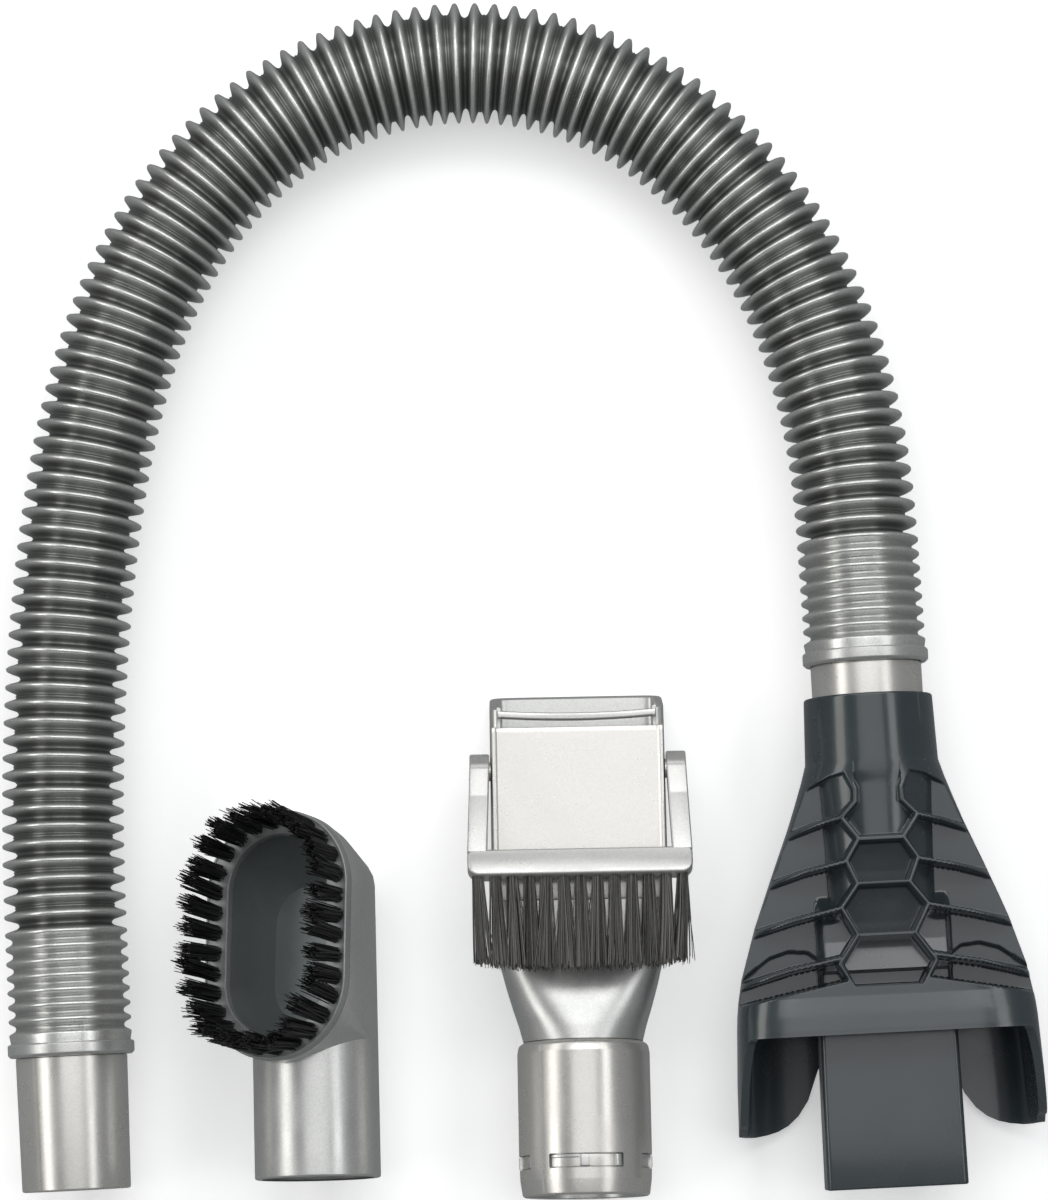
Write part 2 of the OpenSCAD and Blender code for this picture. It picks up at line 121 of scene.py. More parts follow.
def fillet(pts, steps=4):
    """Rounds the corners of a closed outline of (x, y, radius)."""
    out = []
    n = len(pts)
    for i in range(n):
        p = np.array(pts[i][:2], float); r = pts[i][2] if len(pts[i]) > 2 else 0
        if r <= 0:
            out.append(p); continue
        a = np.array(pts[i - 1][:2], float) - p; b = np.array(pts[(i + 1) % n][:2], float) - p
        la, lb = np.linalg.norm(a), np.linalg.norm(b)
        a /= la; b /= lb
        ang = math.acos(max(-1, min(1, a @ b)))
        if ang > math.radians(176):
            out.append(p); continue
        t = min(r / math.tan(ang / 2), la * 0.48, lb * 0.48)
        rr = t * math.tan(ang / 2)
        c = p + (a + b) / np.linalg.norm(a + b) * rr / math.sin(ang / 2)
        p0, p1 = p + a * t, p + b * t
        a0 = math.atan2(*(p0 - c)[::-1]); a1 = math.atan2(*(p1 - c)[::-1])
        d = (a1 - a0 + math.pi) % (2 * math.pi) - math.pi
        for k in range(steps + 1):
            w = a0 + d * k / steps
            out.append(c + rr * np.array([math.cos(w), math.sin(w)]))
    return np.array(out)


def lathe(profile, n=144, rfun=None):
    """Closed ring turned round local -Y from an outline of (radius, distance)."""
    P = np.asarray(profile, float); m = len(P)
    th = np.arange(n) * 2 * math.pi / n
    V = np.zeros((m, n, 3))
    for i, (r, d) in enumerate(P):
        rr = np.full(n, r) if rfun is None else rfun(r, d, th)
        V[i, :, 0] = rr * np.cos(th); V[i, :, 1] = -d; V[i, :, 2] = rr * np.sin(th)
    F = []
    for i in range(m):
        a = i * n; b = ((i + 1) % m) * n
        for j in range(n):
            k = (j + 1) % n
            F.append((a + j, a + k, b + k, b + j))
    return V.reshape(-1, 3), F


def grid_faces(m, n, wrap=True, base=0):
    F = []
    for i in range(m - 1):
        for j in range(n if wrap else n - 1):
            k = (j + 1) % n
            F.append((base + i * n + j, base + i * n + k, base + (i + 1) * n + k, base + (i + 1) * n + j))
    return F


def smooth(e0, e1, x):
    t = np.clip((x - e0) / (e1 - e0), 0, 1)
    return t * t * (3 - 2 * t)


# ------------------------------------------------------------ materials
def nodes_of(name):
    m = bpy.data.materials.new(name); m.use_nodes = True
    nt = m.node_tree
    return m, nt, nt.nodes["Principled BSDF"]


def plastic(name, c0, c1, rough, metallic=0.0, spec=0.5, coat=0.0, flake=0.0, mottle=18.0, bump=0.02, bump_scale=900.0,
            rough_var=0.05, streak=0.0, aniso=0.0, wear=None):
    """Moulded plastic: slow mottling between two tones, fine flakes or grain, uneven gloss and a soft moulded texture."""
    m, nt, b = nodes_of(name)
    N, L = nt.nodes, nt.links
    b.inputs["Metallic"].default_value = metallic
    b.inputs["Specular IOR Level"].default_value = spec
    b.inputs["Coat Weight"].default_value = coat
    b.inputs["Coat Roughness"].default_value = 0.12
    tc = N.new("ShaderNodeTexCoord")
    big = N.new("ShaderNodeTexNoise"); big.inputs["Scale"].default_value = mottle; big.inputs["Detail"].default_value = 5
    big.inputs["Roughness"].default_value = 0.6
    L.new(tc.outputs["Object"], big.inputs["Vector"])
    ramp = N.new("ShaderNodeValToRGB")
    ramp.color_ramp.elements[0].position = 0.34; ramp.color_ramp.elements[1].position = 0.66
    ramp.color_ramp.elements[0].color = (*c0, 1); ramp.color_ramp.elements[1].color = (*c1, 1)
    L.new(big.outputs["Fac"], ramp.inputs["Fac"])
    colour = ramp.outputs["Color"]
    if flake > 0:
        vor = N.new("ShaderNodeTexVoronoi"); vor.inputs["Scale"].default_value = 2600
        L.new(tc.outputs["Object"], vor.inputs["Vector"])
        sep = N.new("ShaderNodeSeparateColor"); L.new(vor.outputs["Color"], sep.inputs["Color"])
        mr = N.new("ShaderNodeMapRange"); mr.inputs["To Min"].default_value = 1 - flake; mr.inputs["To Max"].default_value = 1 + flake
        L.new(sep.outputs["Red"], mr.inputs["Value"])
        mul = N.new("ShaderNodeVectorMath"); mul.operation = "SCALE"
        L.new(colour, mul.inputs[0]); L.new(mr.outputs["Result"], mul.inputs["Scale"])
        colour = mul.outputs["Vector"]
    if wear:
        geo = N.new("ShaderNodeNewGeometry")
        wr = N.new("ShaderNodeMapRange"); wr.inputs["From Min"].default_value = 0.52; wr.inputs["From Max"].default_value = 0.62
        wr.inputs["To Max"].default_value = wear[0]
        L.new(geo.outputs["Pointiness"], wr.inputs["Value"])
        mx = N.new("ShaderNodeMix"); mx.data_type = "RGBA"
        L.new(wr.outputs["Result"], mx.inputs["Factor"]); L.new(colour, mx.inputs["A"]); mx.inputs["B"].default_value = (*wear[1], 1)
        colour = mx.outputs["Result"]
    L.new(colour, b.inputs["Base Color"])
    rn = N.new("ShaderNodeTexNoise"); rn.inputs["Scale"].default_value = 55; rn.inputs["Detail"].default_value = 6
    L.new(tc.outputs["Object"], rn.inputs["Vector"])
    rr = N.new("ShaderNodeMapRange"); rr.inputs["From Min"].default_value = 0.3; rr.inputs["From Max"].default_value = 0.7
    rr.inputs["To Min"].default_value = rough - rough_var; rr.inputs["To Max"].default_value = rough + rough_var
    L.new(rn.outputs["Fac"], rr.inputs["Value"]); L.new(rr.outputs["Result"], b.inputs["Roughness"])
    bn = N.new("ShaderNodeTexNoise"); bn.inputs["Scale"].default_value = bump_scale; bn.inputs["Detail"].default_value = 3
    L.new(tc.outputs["Object"], bn.inputs["Vector"])
    bp = N.new("ShaderNodeBump"); bp.inputs["Strength"].default_value = bump; bp.inputs["Distance"].default_value = 0.0004
    L.new(bn.outputs["Fac"], bp.inputs["Height"]); L.new(bp.outputs["Normal"], b.inputs["Normal"])
    return m


hose_mat = plastic("hose_grey", (0.66, 0.667, 0.652), (0.72, 0.726, 0.71), 0.32, metallic=0.85, flake=0.10, bump=0.04)
silver_mat = plastic("silver_plastic", (0.62, 0.625, 0.612), (0.67, 0.674, 0.66), 0.33, metallic=0.75, flake=0.07, bump=0.04)
pale_mat = plastic("pale_silver", (0.68, 0.668, 0.635), (0.72, 0.706, 0.672), 0.29, metallic=0.72, flake=0.05, bump=0.03)
plate_mat = plastic("pale_plate", (0.78, 0.764, 0.73), (0.82, 0.804, 0.77), 0.28, metallic=0.5, flake=0.04, bump=0.03)
frame_mat = plastic("brush_frame_silver", (0.58, 0.578, 0.565), (0.62, 0.616, 0.60), 0.30, metallic=0.6, flake=0.05, bump=0.03)
slate_mat = plastic("slate_plastic", (0.028, 0.039, 0.044), (0.034, 0.045, 0.050), 0.25, metallic=0.0, spec=0.6, coat=0.55, bump=0.05,
                    bump_scale=700, wear=(0.35, (0.10, 0.11, 0.11)))
# darker silver for the bristle ring, standing in for the shade the crowded tufts cast on it: painted shade
ring_shade_silver_mat = plastic("ring_silver_painted_shade", (0.28, 0.288, 0.29), (0.33, 0.337, 0.338), 0.42, metallic=0.4, flake=0.06, bump=0.05)
# a darker copy of the silver for the dusting brush's cavity and bore: painted shade
cavity_shade_mat = plastic("silver_painted_cavity_shade", (0.17, 0.19, 0.195), (0.20, 0.22, 0.222), 0.36, metallic=0.4, flake=0.05, bump=0.05)
insert_mat = plastic("insert_grey", (0.20, 0.205, 0.20), (0.25, 0.255, 0.25), 0.38, metallic=0.3, flake=0.05, bump=0.05)


def bristle(name, c0, c1, rough):
    """Nylon filaments: each strand its own tone, darker at the root and paler towards the tip, with a long soft
    highlight.
    """
    m, nt, b = nodes_of(name)
    N, L = nt.nodes, nt.links
    tc = N.new("ShaderNodeTexCoord")
    nz = N.new("ShaderNodeTexNoise"); nz.inputs["Scale"].default_value = 900; nz.inputs["Detail"].default_value = 2
    L.new(tc.outputs["Object"], nz.inputs["Vector"])
    at = N.new("ShaderNodeAttribute"); at.attribute_name = "strand"
    ad = N.new("ShaderNodeMath"); ad.operation = "MULTIPLY_ADD"; ad.inputs[1].default_value = 0.35
    L.new(nz.outputs["Fac"], ad.inputs[0]); L.new(at.outputs["Fac"], ad.inputs[2])
    ramp = N.new("ShaderNodeValToRGB")
    ramp.color_ramp.elements[0].position = 0.15; ramp.color_ramp.elements[1].position = 1.0
    ramp.color_ramp.elements[0].color = (*c0, 1); ramp.color_ramp.elements[1].color = (*c1, 1)
    L.new(ad.outputs["Value"], ramp.inputs["Fac"]); L.new(ramp.outputs["Color"], b.inputs["Base Color"])
    rr = N.new("ShaderNodeMapRange"); rr.inputs["To Min"].default_value = rough - 0.08; rr.inputs["To Max"].default_value = rough + 0.1
    L.new(nz.outputs["Fac"], rr.inputs["Value"]); L.new(rr.outputs["Result"], b.inputs["Roughness"])
    b.inputs["Specular IOR Level"].default_value = 0.45
    return m


grey_bristle = bristle("bristle_grey", (0.026, 0.025, 0.024), (0.20, 0.195, 0.185), 0.40)
black_bristle = bristle("bristle_black", (0.004, 0.004, 0.0045), (0.022, 0.022, 0.023), 0.40)

# ------------------------------------------------------------ hose
ROUTE = np.array([
    [79, 93.5, 23], [78.5, 103.5, 23], [77.7, 114.6, 22.9], [76.5, 136, 22.2], [74.5, 157, 21.2],
    [70.5, 177.5, 20.3], [64.4, 198, 19.5], [56, 217, 19.3], [44.8, 235, 19.3],
    [31, 251, 19.3], [14.7, 265, 19.3], [-3.8, 275.5, 19.3], [-24, 282.5, 19.3],
    [-45.5, 285, 19.3], [-67, 283, 19.3], [-87.5, 277, 19.3], [-106.5, 266.7, 19.3],
    [-123, 253, 19.3], [-137, 236.5, 19.3], [-148, 218.2, 19.3],
    [-156.4, 198.6, 19.3], [-162.4, 178.2, 19.3], [-166.9, 157.4, 19.3],
    [-170, 136.6, 19.3], [-172.2, 116, 19.3], [-173.8, 95, 19.3], [-174.7, 74, 19.3],
    [-175, 53, 19.4], [-174.7, 32, 19.6], [-173.8, 11, 19.9], [-172.5, -10.8, 20],
    [-171.5, -29.8, 20]], float)


def spline(P, per=60):
    n = len(P)
    Q = np.vstack([2 * P[0] - P[1], P, 2 * P[-1] - P[-2]])
    out = []
    for i in range(n - 1):
        a, b, c, d = Q[i], Q[i + 1], Q[i + 2], Q[i + 3]
        for t in np.arange(per) / per:
            out.append(((1 - t) ** 3 * a + (3 * t ** 3 - 6 * t * t + 4) * b + (-3 * t ** 3 + 3 * t * t + 3 * t + 1) * c + t ** 3 * d) / 6)
    out.append(P[-1])
    return np.array(out)


LINE = spline(ROUTE) + KIT
ARC = np.r_[0, np.cumsum(np.linalg.norm(np.diff(LINE, axis=0), axis=1))]
HOSE_L = ARC[-1]


def on_line(s):
    return np.stack([np.interp(s, ARC, LINE[:, k]) for k in range(3)], -1)


# crests: close, shallow ones at both ends, wide ones between
END_N, END_P = 8, 4.55
a0 = 2.6
crest = [a0 + k * END_P for k in range(END_N)]
far = [HOSE_L - a0 - k * END_P for k in range(END_N)]
span = far[-1] - crest[-1]
mid_n = int(round(span / 5.55))
if mid_n % 2 == 0:
    mid_n += 1
mids = [crest[-1] + span * (k + 1) / mid_n for k in range(mid_n - 1)]
CREST = np.array(sorted(crest + mids + far))
S, RAD = [0.0, 0.6], [18.9, 18.9]
SHAPE = [(0.05, 0.015), (0.10, 0.07), (0.145, 0.18), (0.19, 0.34), (0.235, 0.53), (0.285, 0.72), (0.335, 0.87)]
for i in range(len(CREST) - 1):
    s0, s1 = CREST[i], CREST[i + 1]
    end = i < END_N - 1 or i >= len(CREST) - END_N
    edge = i in (END_N - 1, len(CREST) - END_N - 1)
    deep = 2.3 if end else (3.75 if i % 2 == 0 else 4.7)
    top0 = top1 = 19.3
    pts = []
    for f, g in SHAPE:
        if f < 0: continue
        pts.append((f, g))
    if i % 2 == 0 and not end:      # a wide valley with a flat bottom and a fine raised line
        vall = [(0.385, 0.965), (0.425, 1.0), (0.465, 0.985), (0.485, 0.94), (0.5, 0.92), (0.515, 0.94), (0.535, 0.985), (0.575, 1.0), (0.615, 0.965)]
    else:                           # a sharp valley
        vall = [(0.395, 0.94), (0.45, 0.99), (0.5, 1.0), (0.55, 0.99), (0.605, 0.94)]
    seq = pts + vall + [(1 - f, g) for f, g in pts[::-1]]
    S.append(s0); RAD.append(19.3)
    for f, g in seq:
        S.append(s0 + (s1 - s0) * f); RAD.append(19.3 - deep * g)
S.append(CREST[-1]); RAD.append(19.3)
S += [HOSE_L - 0.6, HOSE_L]; RAD += [18.9, 18.9]
S, RAD = np.array(S), np.array(RAD)
order = np.argsort(S, kind="stable"); S, RAD = S[order], RAD[order]
keep = np.r_[True, np.diff(S) > 1e-4]; S, RAD = S[keep], RAD[keep]


def ring_frames(s):
    c = on_line(s)
    t = on_line(np.minimum(s + 0.6, HOSE_L)) - on_line(np.maximum(s - 0.6, 0))
    t /= np.linalg.norm(t, axis=1)[:, None]
    side = np.cross([0, 0, 1.0], t); side /= np.linalg.norm(side, axis=1)[:, None]
    up = np.cross(t, side)
    return c, side, up


NA = 36
th = np.arange(NA) * 2 * math.pi / NA
c, side, up = ring_frames(S)
R2 = np.repeat(RAD[:, None], NA, 1)
# a fine groove along the mould's parting line on the outer shoulder, and slight unevenness from ring to ring
seam = int(round(math.radians(129) / (2 * math.pi) * NA))
is_crest = np.isin(S, CREST)
flash = rng.uniform(0, 1, len(S)) * is_crest
R2[:, seam] += 0.0 * flash
R2[:, seam] -= 0.10 * (RAD > 17.5)
R2 -= 0.05 * np.abs(np.sin(3 * th[None, :] + 0.7 * np.arange(len(S))[:, None] * 0.13)) * (RAD > 18)[:, None]
V = c[:, None, :] + R2[:, :, None] * (np.cos(th)[None, :, None] * side[:, None, :] + np.sin(th)[None, :, None] * up[:, None, :])
SI = np.linspace(0, HOSE_L, 110)
ci, si, ui = ring_frames(SI)
VI = ci[:, None, :] + 14.3 * (np.cos(th)[None, :, None] * si[:, None, :] + np.sin(th)[None, :, None] * ui[:, None, :])
m1, m2 = len(S), len(SI)
verts = np.vstack([V.reshape(-1, 3), VI.reshape(-1, 3)])
faces = grid_faces(m1, NA) + [tuple(reversed(f)) for f in grid_faces(m2, NA, base=m1 * NA)]
for j in range(NA):
    k = (j + 1) % NA
    faces.append((k, j, m1 * NA + j, m1 * NA + k))
    e = (m1 - 1) * NA; f = m1 * NA + (m2 - 1) * NA
    faces.append((e + j, e + k, f + k, f + j))
hose = make("hose_tube", verts, faces, np.eye(4), hose_mat, "hose_assembly", "hose_grey", ["hose"], angle=70, recalc=False)
# painted shade and highlight: the hose's colour is darkened by valley depth (darkest on the inner skin) and lifted
# above the base colour on the crests
valley_shade_v = np.r_[np.repeat(np.clip((19.3 - RAD) / 4.2, 0, 1), NA), np.full(m2 * NA, 1.0)].astype(np.float32)
hose.data.attributes.new("depth", "FLOAT", "POINT").data.foreach_set("value", valley_shade_v)
nt = hose_mat.node_tree
valley_shade_attr = nt.nodes.new("ShaderNodeAttribute"); valley_shade_attr.attribute_name = "depth"
valley_shade_ramp = nt.nodes.new("ShaderNodeValToRGB")
valley_shade_ramp.color_ramp.elements[0].position = 0.0; valley_shade_ramp.color_ramp.elements[0].color = (1.14, 1.14, 1.13, 1)
valley_shade_ramp.color_ramp.elements[1].position = 1.0; valley_shade_ramp.color_ramp.elements[1].color = (0.30, 0.305, 0.30, 1)
e_ = valley_shade_ramp.color_ramp.elements.new(0.34); e_.color = (0.95, 0.95, 0.945, 1)
e_ = valley_shade_ramp.color_ramp.elements.new(0.78); e_.color = (0.40, 0.405, 0.40, 1)
nt.links.new(valley_shade_attr.outputs["Fac"], valley_shade_ramp.inputs["Fac"])
vm = nt.nodes.new("ShaderNodeVectorMath"); vm.operation = "MULTIPLY"
bs = nt.nodes["Principled BSDF"]
nt.links.new(bs.inputs["Base Color"].links[0].from_socket, vm.inputs[0]); nt.links.new(valley_shade_ramp.outputs["Color"], vm.inputs[1])
nt.links.new(vm.outputs["Vector"], bs.inputs["Base Color"])


def at(M, p):
    return (M @ np.array([*p, 1.0]))[:3]


# ------------------------------------------------------------ collars, cuff and spigot, turned with rounded edges
def seam_r(angle_deg, width_deg, height):
    a = math.radians(angle_deg)
    def f(r, d, t):
        k = np.abs((t - a + math.pi) % (2 * math.pi) - math.pi)
        return r + height * (k < math.radians(width_deg))
    return f


R = 39.7 / 2
collar_prof = fillet([(19.1, 0.02), (R - 0.35, 0.02, 0.25), (R, 0.5, 0.4), (R, 3.4, 0.6), (R - 0.8, 4.2, 0.35),
                      (17.5, 4.2, 0.25), (17.5, 2.85), (19.1, 2.85)], 4)
for nm, M, node in (("tool_collar_ring", M_TOOL, "tool_end_collar"), ("adapter_collar_ring", M_TOP, "adapter_end_collar")):
    v, f = lathe(collar_prof, 160, lambda r, d, t: r + 0.0 * t - 0.06 * np.abs(np.sin(2.5 * t + 1)) * (d > 3.6))
    make(nm, v, f, M, silver_mat, "hose_assembly", "silver_plastic", [node])

cuff_prof = fillet([(15.6, 1.3), (19, 1.3), (19, 2.7), (16.68, 2.7), (16.68, 4.35), (17.48, 4.5, 0.2), (17.3, 20), (16.95, 46.2, 0.75), (15.3, 46.2, 0.5),
                    (15.45, 43.5, 0.4)], 5)
v, f = lathe(cuff_prof, 200, lambda r, d, t: r - 0.05 * (np.abs((t - 2.2 + math.pi) % (2 * math.pi) - math.pi) < 0.02) * (r > 16.5))
cuff = make("tool_cuff_tube", v, f, M_TOOL, pale_mat, "tool_cuff", "pale_silver", ["tool_cuff"])
sp_prof = fillet([(15.6, 1.3), (19, 1.3), (19, 2.7), (16.68, 2.7), (16.68, 4.35), (17.5, 4.5, 0.2), (17.5, 46.7, 0.7), (15.6, 46.7, 0.4)], 5)
v, f = lathe(sp_prof, 200)
spigot = make("adapter_spigot_tube", v, f, M_TOP, pale_mat, "spigot", "pale_silver", ["adapter_spigot"])

# ------------------------------------------------------------ adapter shell
HOOD = np.array([
    [-0.0, 20.0, -20.0, 20.0, 2], [0.5, 20.3, -20.3, 20.3, 2], [18, 20.9, -20.8, 20.8, 2], [20.6, 21.0, -20.8, 20.9, 2], [26, 22.6, -21, 21, 2.1], [33, 25.0, -21.4, 21.3, 2.3],
    [40, 27.5, -21.8, 21.6, 2.5], [55, 33.5, -22.4, 22, 3.1], [71, 39.7, -22.8, 22.4, 3.6],
    [87, 44.7, -23, 21.6, 3.7], [94, 46.0, -23, 21.3, 3.8], [100, 46.8, -23, 22.3, 3.9], [105, 47.0, -23, 23, 4], [120, 47.7, -23, 23, 4.2], [140, 48.2, -23, 23, 4.4]])


def hood(v):
    return [np.interp(v, HOOD[:, 0], HOOD[:, k]) for k in (1, 2, 3, 4)]


VS = 2.3
RIBS = []
for s in (1, -1):
    chain = lambda *p: RIBS.extend([((s * a[0], a[1] + VS), (s * b[0], b[1] + VS)) for a, b in zip(p[:-1], p[1:])])
    chain((7, 43.3), (11.2, 49.9), (8.1, 57.3), (13.5, 64.5), (8.9, 73.2), (15, 82), (11.0, 89.0))
    chain((7, 43.3), (11.9, 36.3), (7.4, 31.6), (7.2, 27.6), (9.9, 21.6), (15, 22.6), (21.5, 25.6), (26, 29))
    chain((11.9, 36.3), (20, 38.2), (31, 41.9))
    chain((11.4, 50.2), (24, 52.7), (38, 56.9))
    chain((13.7, 64.6), (28, 67.6), (44, 71.9))
    chain((15, 82), (14.2, 80.2), (30, 83.0), (47, 87.6))
for v_ in (43.3, 57.3, 73.2):
    w_ = {43.3: 7, 57.3: 8.1, 73.2: 8.9}[v_]
    RIBS.append(((-w_, v_ + VS), (w_, v_ + VS)))


def seg_dist(u, v, a, b):
    ax, ay = a; bx, by = b
    dx, dy = bx - ax, by - ay
    t = np.clip(((u - ax) * dx + (v - ay) * dy) / (dx * dx + dy * dy), 0, 1)
    return np.hypot(u - ax - t * dx, v - ay - t * dy)


def inside(u, v, poly):
    r = np.zeros(u.shape, bool)
    n = len(poly)
    for i in range(n):
        x0, y0 = poly[i]; x1, y1 = poly[(i + 1) % n]
        cond = (y0 > v) != (y1 > v)
        r ^= cond & (u < (x1 - x0) * (v - y0) / (y1 - y0 + 1e-12) + x0)
    return r


def shell_top(u, v, H):
    """Height of the outer face, with the honeycomb's recesses."""
    d = np.full(u.shape, 99.0)
    for a, b in RIBS:
        d = np.minimum(d, seg_dist(u, v, a, b))
    au = np.abs(u)
    v_top = VS + np.interp(au, [0, 7.2, 7.3, 9.9, 15, 21.5, 26, 50], [14, 14, 27.6, 21.6, 22.6, 25.6, 29, 46])
    v_bot = VS + np.interp(au, [0, 10.6, 11.4, 13, 40, 50], [89.0, 89.0, 87.4, 87.2, 92.2, 94.0])
    cell = smooth(0.42, 1.25, d) * smooth(-0.2, 0.8, v_bot - v)
    cell = cell * np.where(au < 7.25, smooth(20, 29, v), smooth(-0.2, 0.9, v - v_top))
    Rd = np.interp(v, [16, 26, 36, 50, 66, 80], [20.7, 20.1, 19.4, 18.7, 18.2, 17.6])
    duct = np.sqrt(np.maximum(Rd ** 2 - u ** 2, 0.0))
    wing = np.interp(v, [20, 40, 60, 90], [10, 8.5, 7.5, 7.0])
    # the duct flattens and rises again towards the tongue
    flat = np.interp(v, [60, 70, 77, 86.2, 86.9, 96], [15.5, 13.0, 13.6, 15.4, 9.9, 9.9]) * smooth(21.5, 19.0, au) + wing * smooth(19.0, 21.5, au)
    k = smooth(62, 72, v)
    F = np.maximum(duct, wing) * (1 - k) + np.maximum(flat, wing) * k
    hexes = [[(7, 43.3), (11.2, 49.9), (8.1, 57.3), (-8.1, 57.3), (-11.2, 49.9), (-7, 43.3)],
             [(8.1, 57.3), (13.5, 64.5), (8.9, 73.2), (-8.9, 73.2), (-13.5, 64.5), (-8.1, 57.3)]]
    for hx in hexes:
        vm_ = VS + (hx[0][1] + hx[2][1]) / 2
        F = np.where(inside(u, v - VS, hx), 12.8 - 0.2 * (v - vm_), F)
    # the last side cell drops in an arc below the third rib
    arc = VS + np.interp(au, [20, 24, 30, 36, 42, 50], [80, 77.0, 76.4, 78.2, 82.5, 88])
    F = F - 3.0 * smooth(0, 0.8, v - arc) * (au > 20.5) * (v > 70)
    return H - cell * np.maximum(H - F, 0)


def clist(nmid, dense=True):
    e = [1.0, 0.99993, 0.9993, 0.9972, 0.993, 0.986, 0.976, 0.963, 0.948, 0.932]
    midp = np.linspace(0.915, -0.915, nmid)
    return np.array(e + midp.tolist() + [-x for x in e[::-1]])


CT, CB = clist(226), clist(26)[1:-1][::-1]
nT, nB = len(CT), len(CB)
NSEC = nT + nB


def v_end(cc, top):
    """Where the hood's edge lies: the front lip, the slanted sides and the two back lobes."""
    if top:
        a = np.abs(cc)
        lip = 106 + 0.0 * a
        side_v = np.interp(a, [0.93, 0.955, 0.975, 0.99, 0.998, 1.0], [106, 108, 114, 122, 129, 133.5])
        return np.where(a < 0.93, lip, side_v)
    u = np.abs(cc) * 48.0
    lob = np.interp(u, [0, 8, 20, 22.8, 24.5, 26.5, 29, 32, 36, 40, 45, 48], [106.5, 106.5, 110.5, 116.5, 121.5, 125.9, 129.5, 132.5, 134.7, 135.8, 136.5, 136.0])
    return lob


ve = np.r_[v_end(CT, True), v_end(CB, False)]
QR = np.r_[np.linspace(0, 0.8, 5), np.linspace(3, 19, 9), np.arange(19.5, 98.5, 0.32), np.linspace(99.5, 106, 9)]
rows_q = QR / 106.0


def rows_for(vend):
    """Rows of v along each strip: identical up to v 98.5, then stretched to the strip's end."""
    out = QR[:, None].repeat(len(vend), 1)
    tail = QR > 98.5
    out[tail] = 98.5 + (QR[tail][:, None] - 98.5) / (106 - 98.5) * (vend[None, :] - 98.5)
    return out


VV = rows_for(ve)
A, ZL_, ZH_, E = hood(VV)
CC = np.r_[CT, CB][None, :].repeat(len(QR), 0)
isT = np.r_[np.ones(nT, bool), np.zeros(nB, bool)][None, :].repeat(len(QR), 0)
U = A * CC
zc, zb = (ZL_ + ZH_) / 2, (ZH_ - ZL_) / 2
prof = np.maximum(1 - np.abs(CC) ** E, 0) ** (1 / E)
Zo = np.where(isT, zc + zb * prof, zc - zb * prof)
Zs = np.where(isT, shell_top(U, VV, Zo), Zo)
outer = np.stack([U, -VV, Zs], -1)

# the inside: the socket and the pocket, a wall thickness in from the outside
W = 2.6
VI_ = np.r_[np.array([0.0, 4, 12, 20, 33.9]), np.linspace(34.0, 90, 16), np.linspace(92, 106, 18)]
vi = VI_[:, None].repeat(NSEC, 1)
tail = VI_ > 92
vi[tail] = 92 + (VI_[tail][:, None] - 92) / 14 * (ve[None, :] - 92)
Ai, ZLi, ZHi, Ei = hood(vi)
C2 = np.r_[CT, CB][None, :].repeat(len(VI_), 0)
isT2 = np.r_[np.ones(nT, bool), np.zeros(nB, bool)][None, :].repeat(len(VI_), 0)
k = smooth(94.5, 98.5, vi)
rin = np.interp(vi, [0, 34, 38, 60, 94], [17.62, 17.62, 10.5, 10.5, 10.5])
ang = np.arccos(np.clip(C2, -1, 1))
tube_u, tube_z = rin * np.cos(ang), np.minimum(rin, np.interp(vi, [0, 60, 70, 94], [18, 18, 5.0, 5.0])) * np.sin(ang) * np.where(isT2, 1, -1)
pr = np.maximum(1 - np.abs(C2) ** Ei, 0) ** (1 / Ei)
zci, zbi = (ZLi + ZHi) / 2, (ZHi - ZLi) / 2 - W
hood_u, hood_z = (Ai - W) * C2, np.where(isT2, zci + zbi * pr, zci - zbi * pr)
Ui = tube_u * (1 - k) + hood_u * k
Zi = tube_z * (1 - k) + hood_z * k
inner = np.stack([Ui, -vi, Zi], -1)
nO, nI = len(QR), len(VI_)
verts = np.vstack([outer.reshape(-1, 3), inner.reshape(-1, 3)])
faces = grid_faces(nO, NSEC) + [tuple(reversed(f)) for f in grid_faces(nI, NSEC, base=nO * NSEC)]
# rounded edges join the skins at the neck's top and at the hood's mouth
bo = nO * NSEC
for j in range(NSEC):
    kk = (j + 1) % NSEC
    faces.append((kk, j, bo + j, bo + kk))
    e = (nO - 1) * NSEC; g = bo + (nI - 1) * NSEC
    faces.append((e + j, e + kk, g + kk, g + j))
shell = make("adapter_shell_moulding", verts, faces, M_NECK, slate_mat, "adapter", "slate_plastic", ["adapter_shell"], angle=75)

# ------------------------------------------------------------ duct and tongue
def rrect(hw, hh, r, k=6):
    pts = []
    for sx, sy, a in ((1, 1, 0), (-1, 1, 90), (-1, -1, 180), (1, -1, 270)):
        for i in range(k + 1):
            w = math.radians(a + 90 * i / k)
            pts.append((sx * (hw - r) + r * math.cos(w), sy * (hh - r) + r * math.sin(w)))
    return np.array(pts)


def tongue_rings(off):
    secs = []
    for v_, hw, hh, r in ((52, 14.0, 10.6, 10.0), (60, 15.0, 10.3, 9.5), (68, 17.0, 10.2, 8), (76, 18.5, 9.6, 5), (86, 20.0, 9.4, 3.2), (97, 21.4, 9.0, 2.2),
                          (98.5, 21.45, 9.0, 1.8), (120, 21.7, 9.0, 1.7), (153.3, 22.0, 9.0, 1.7)):
        r = max(min(r, hw, hh) - off, 0.5)
        secs.append((v_, rrect(hw - off, hh - off, r)))
    return secs


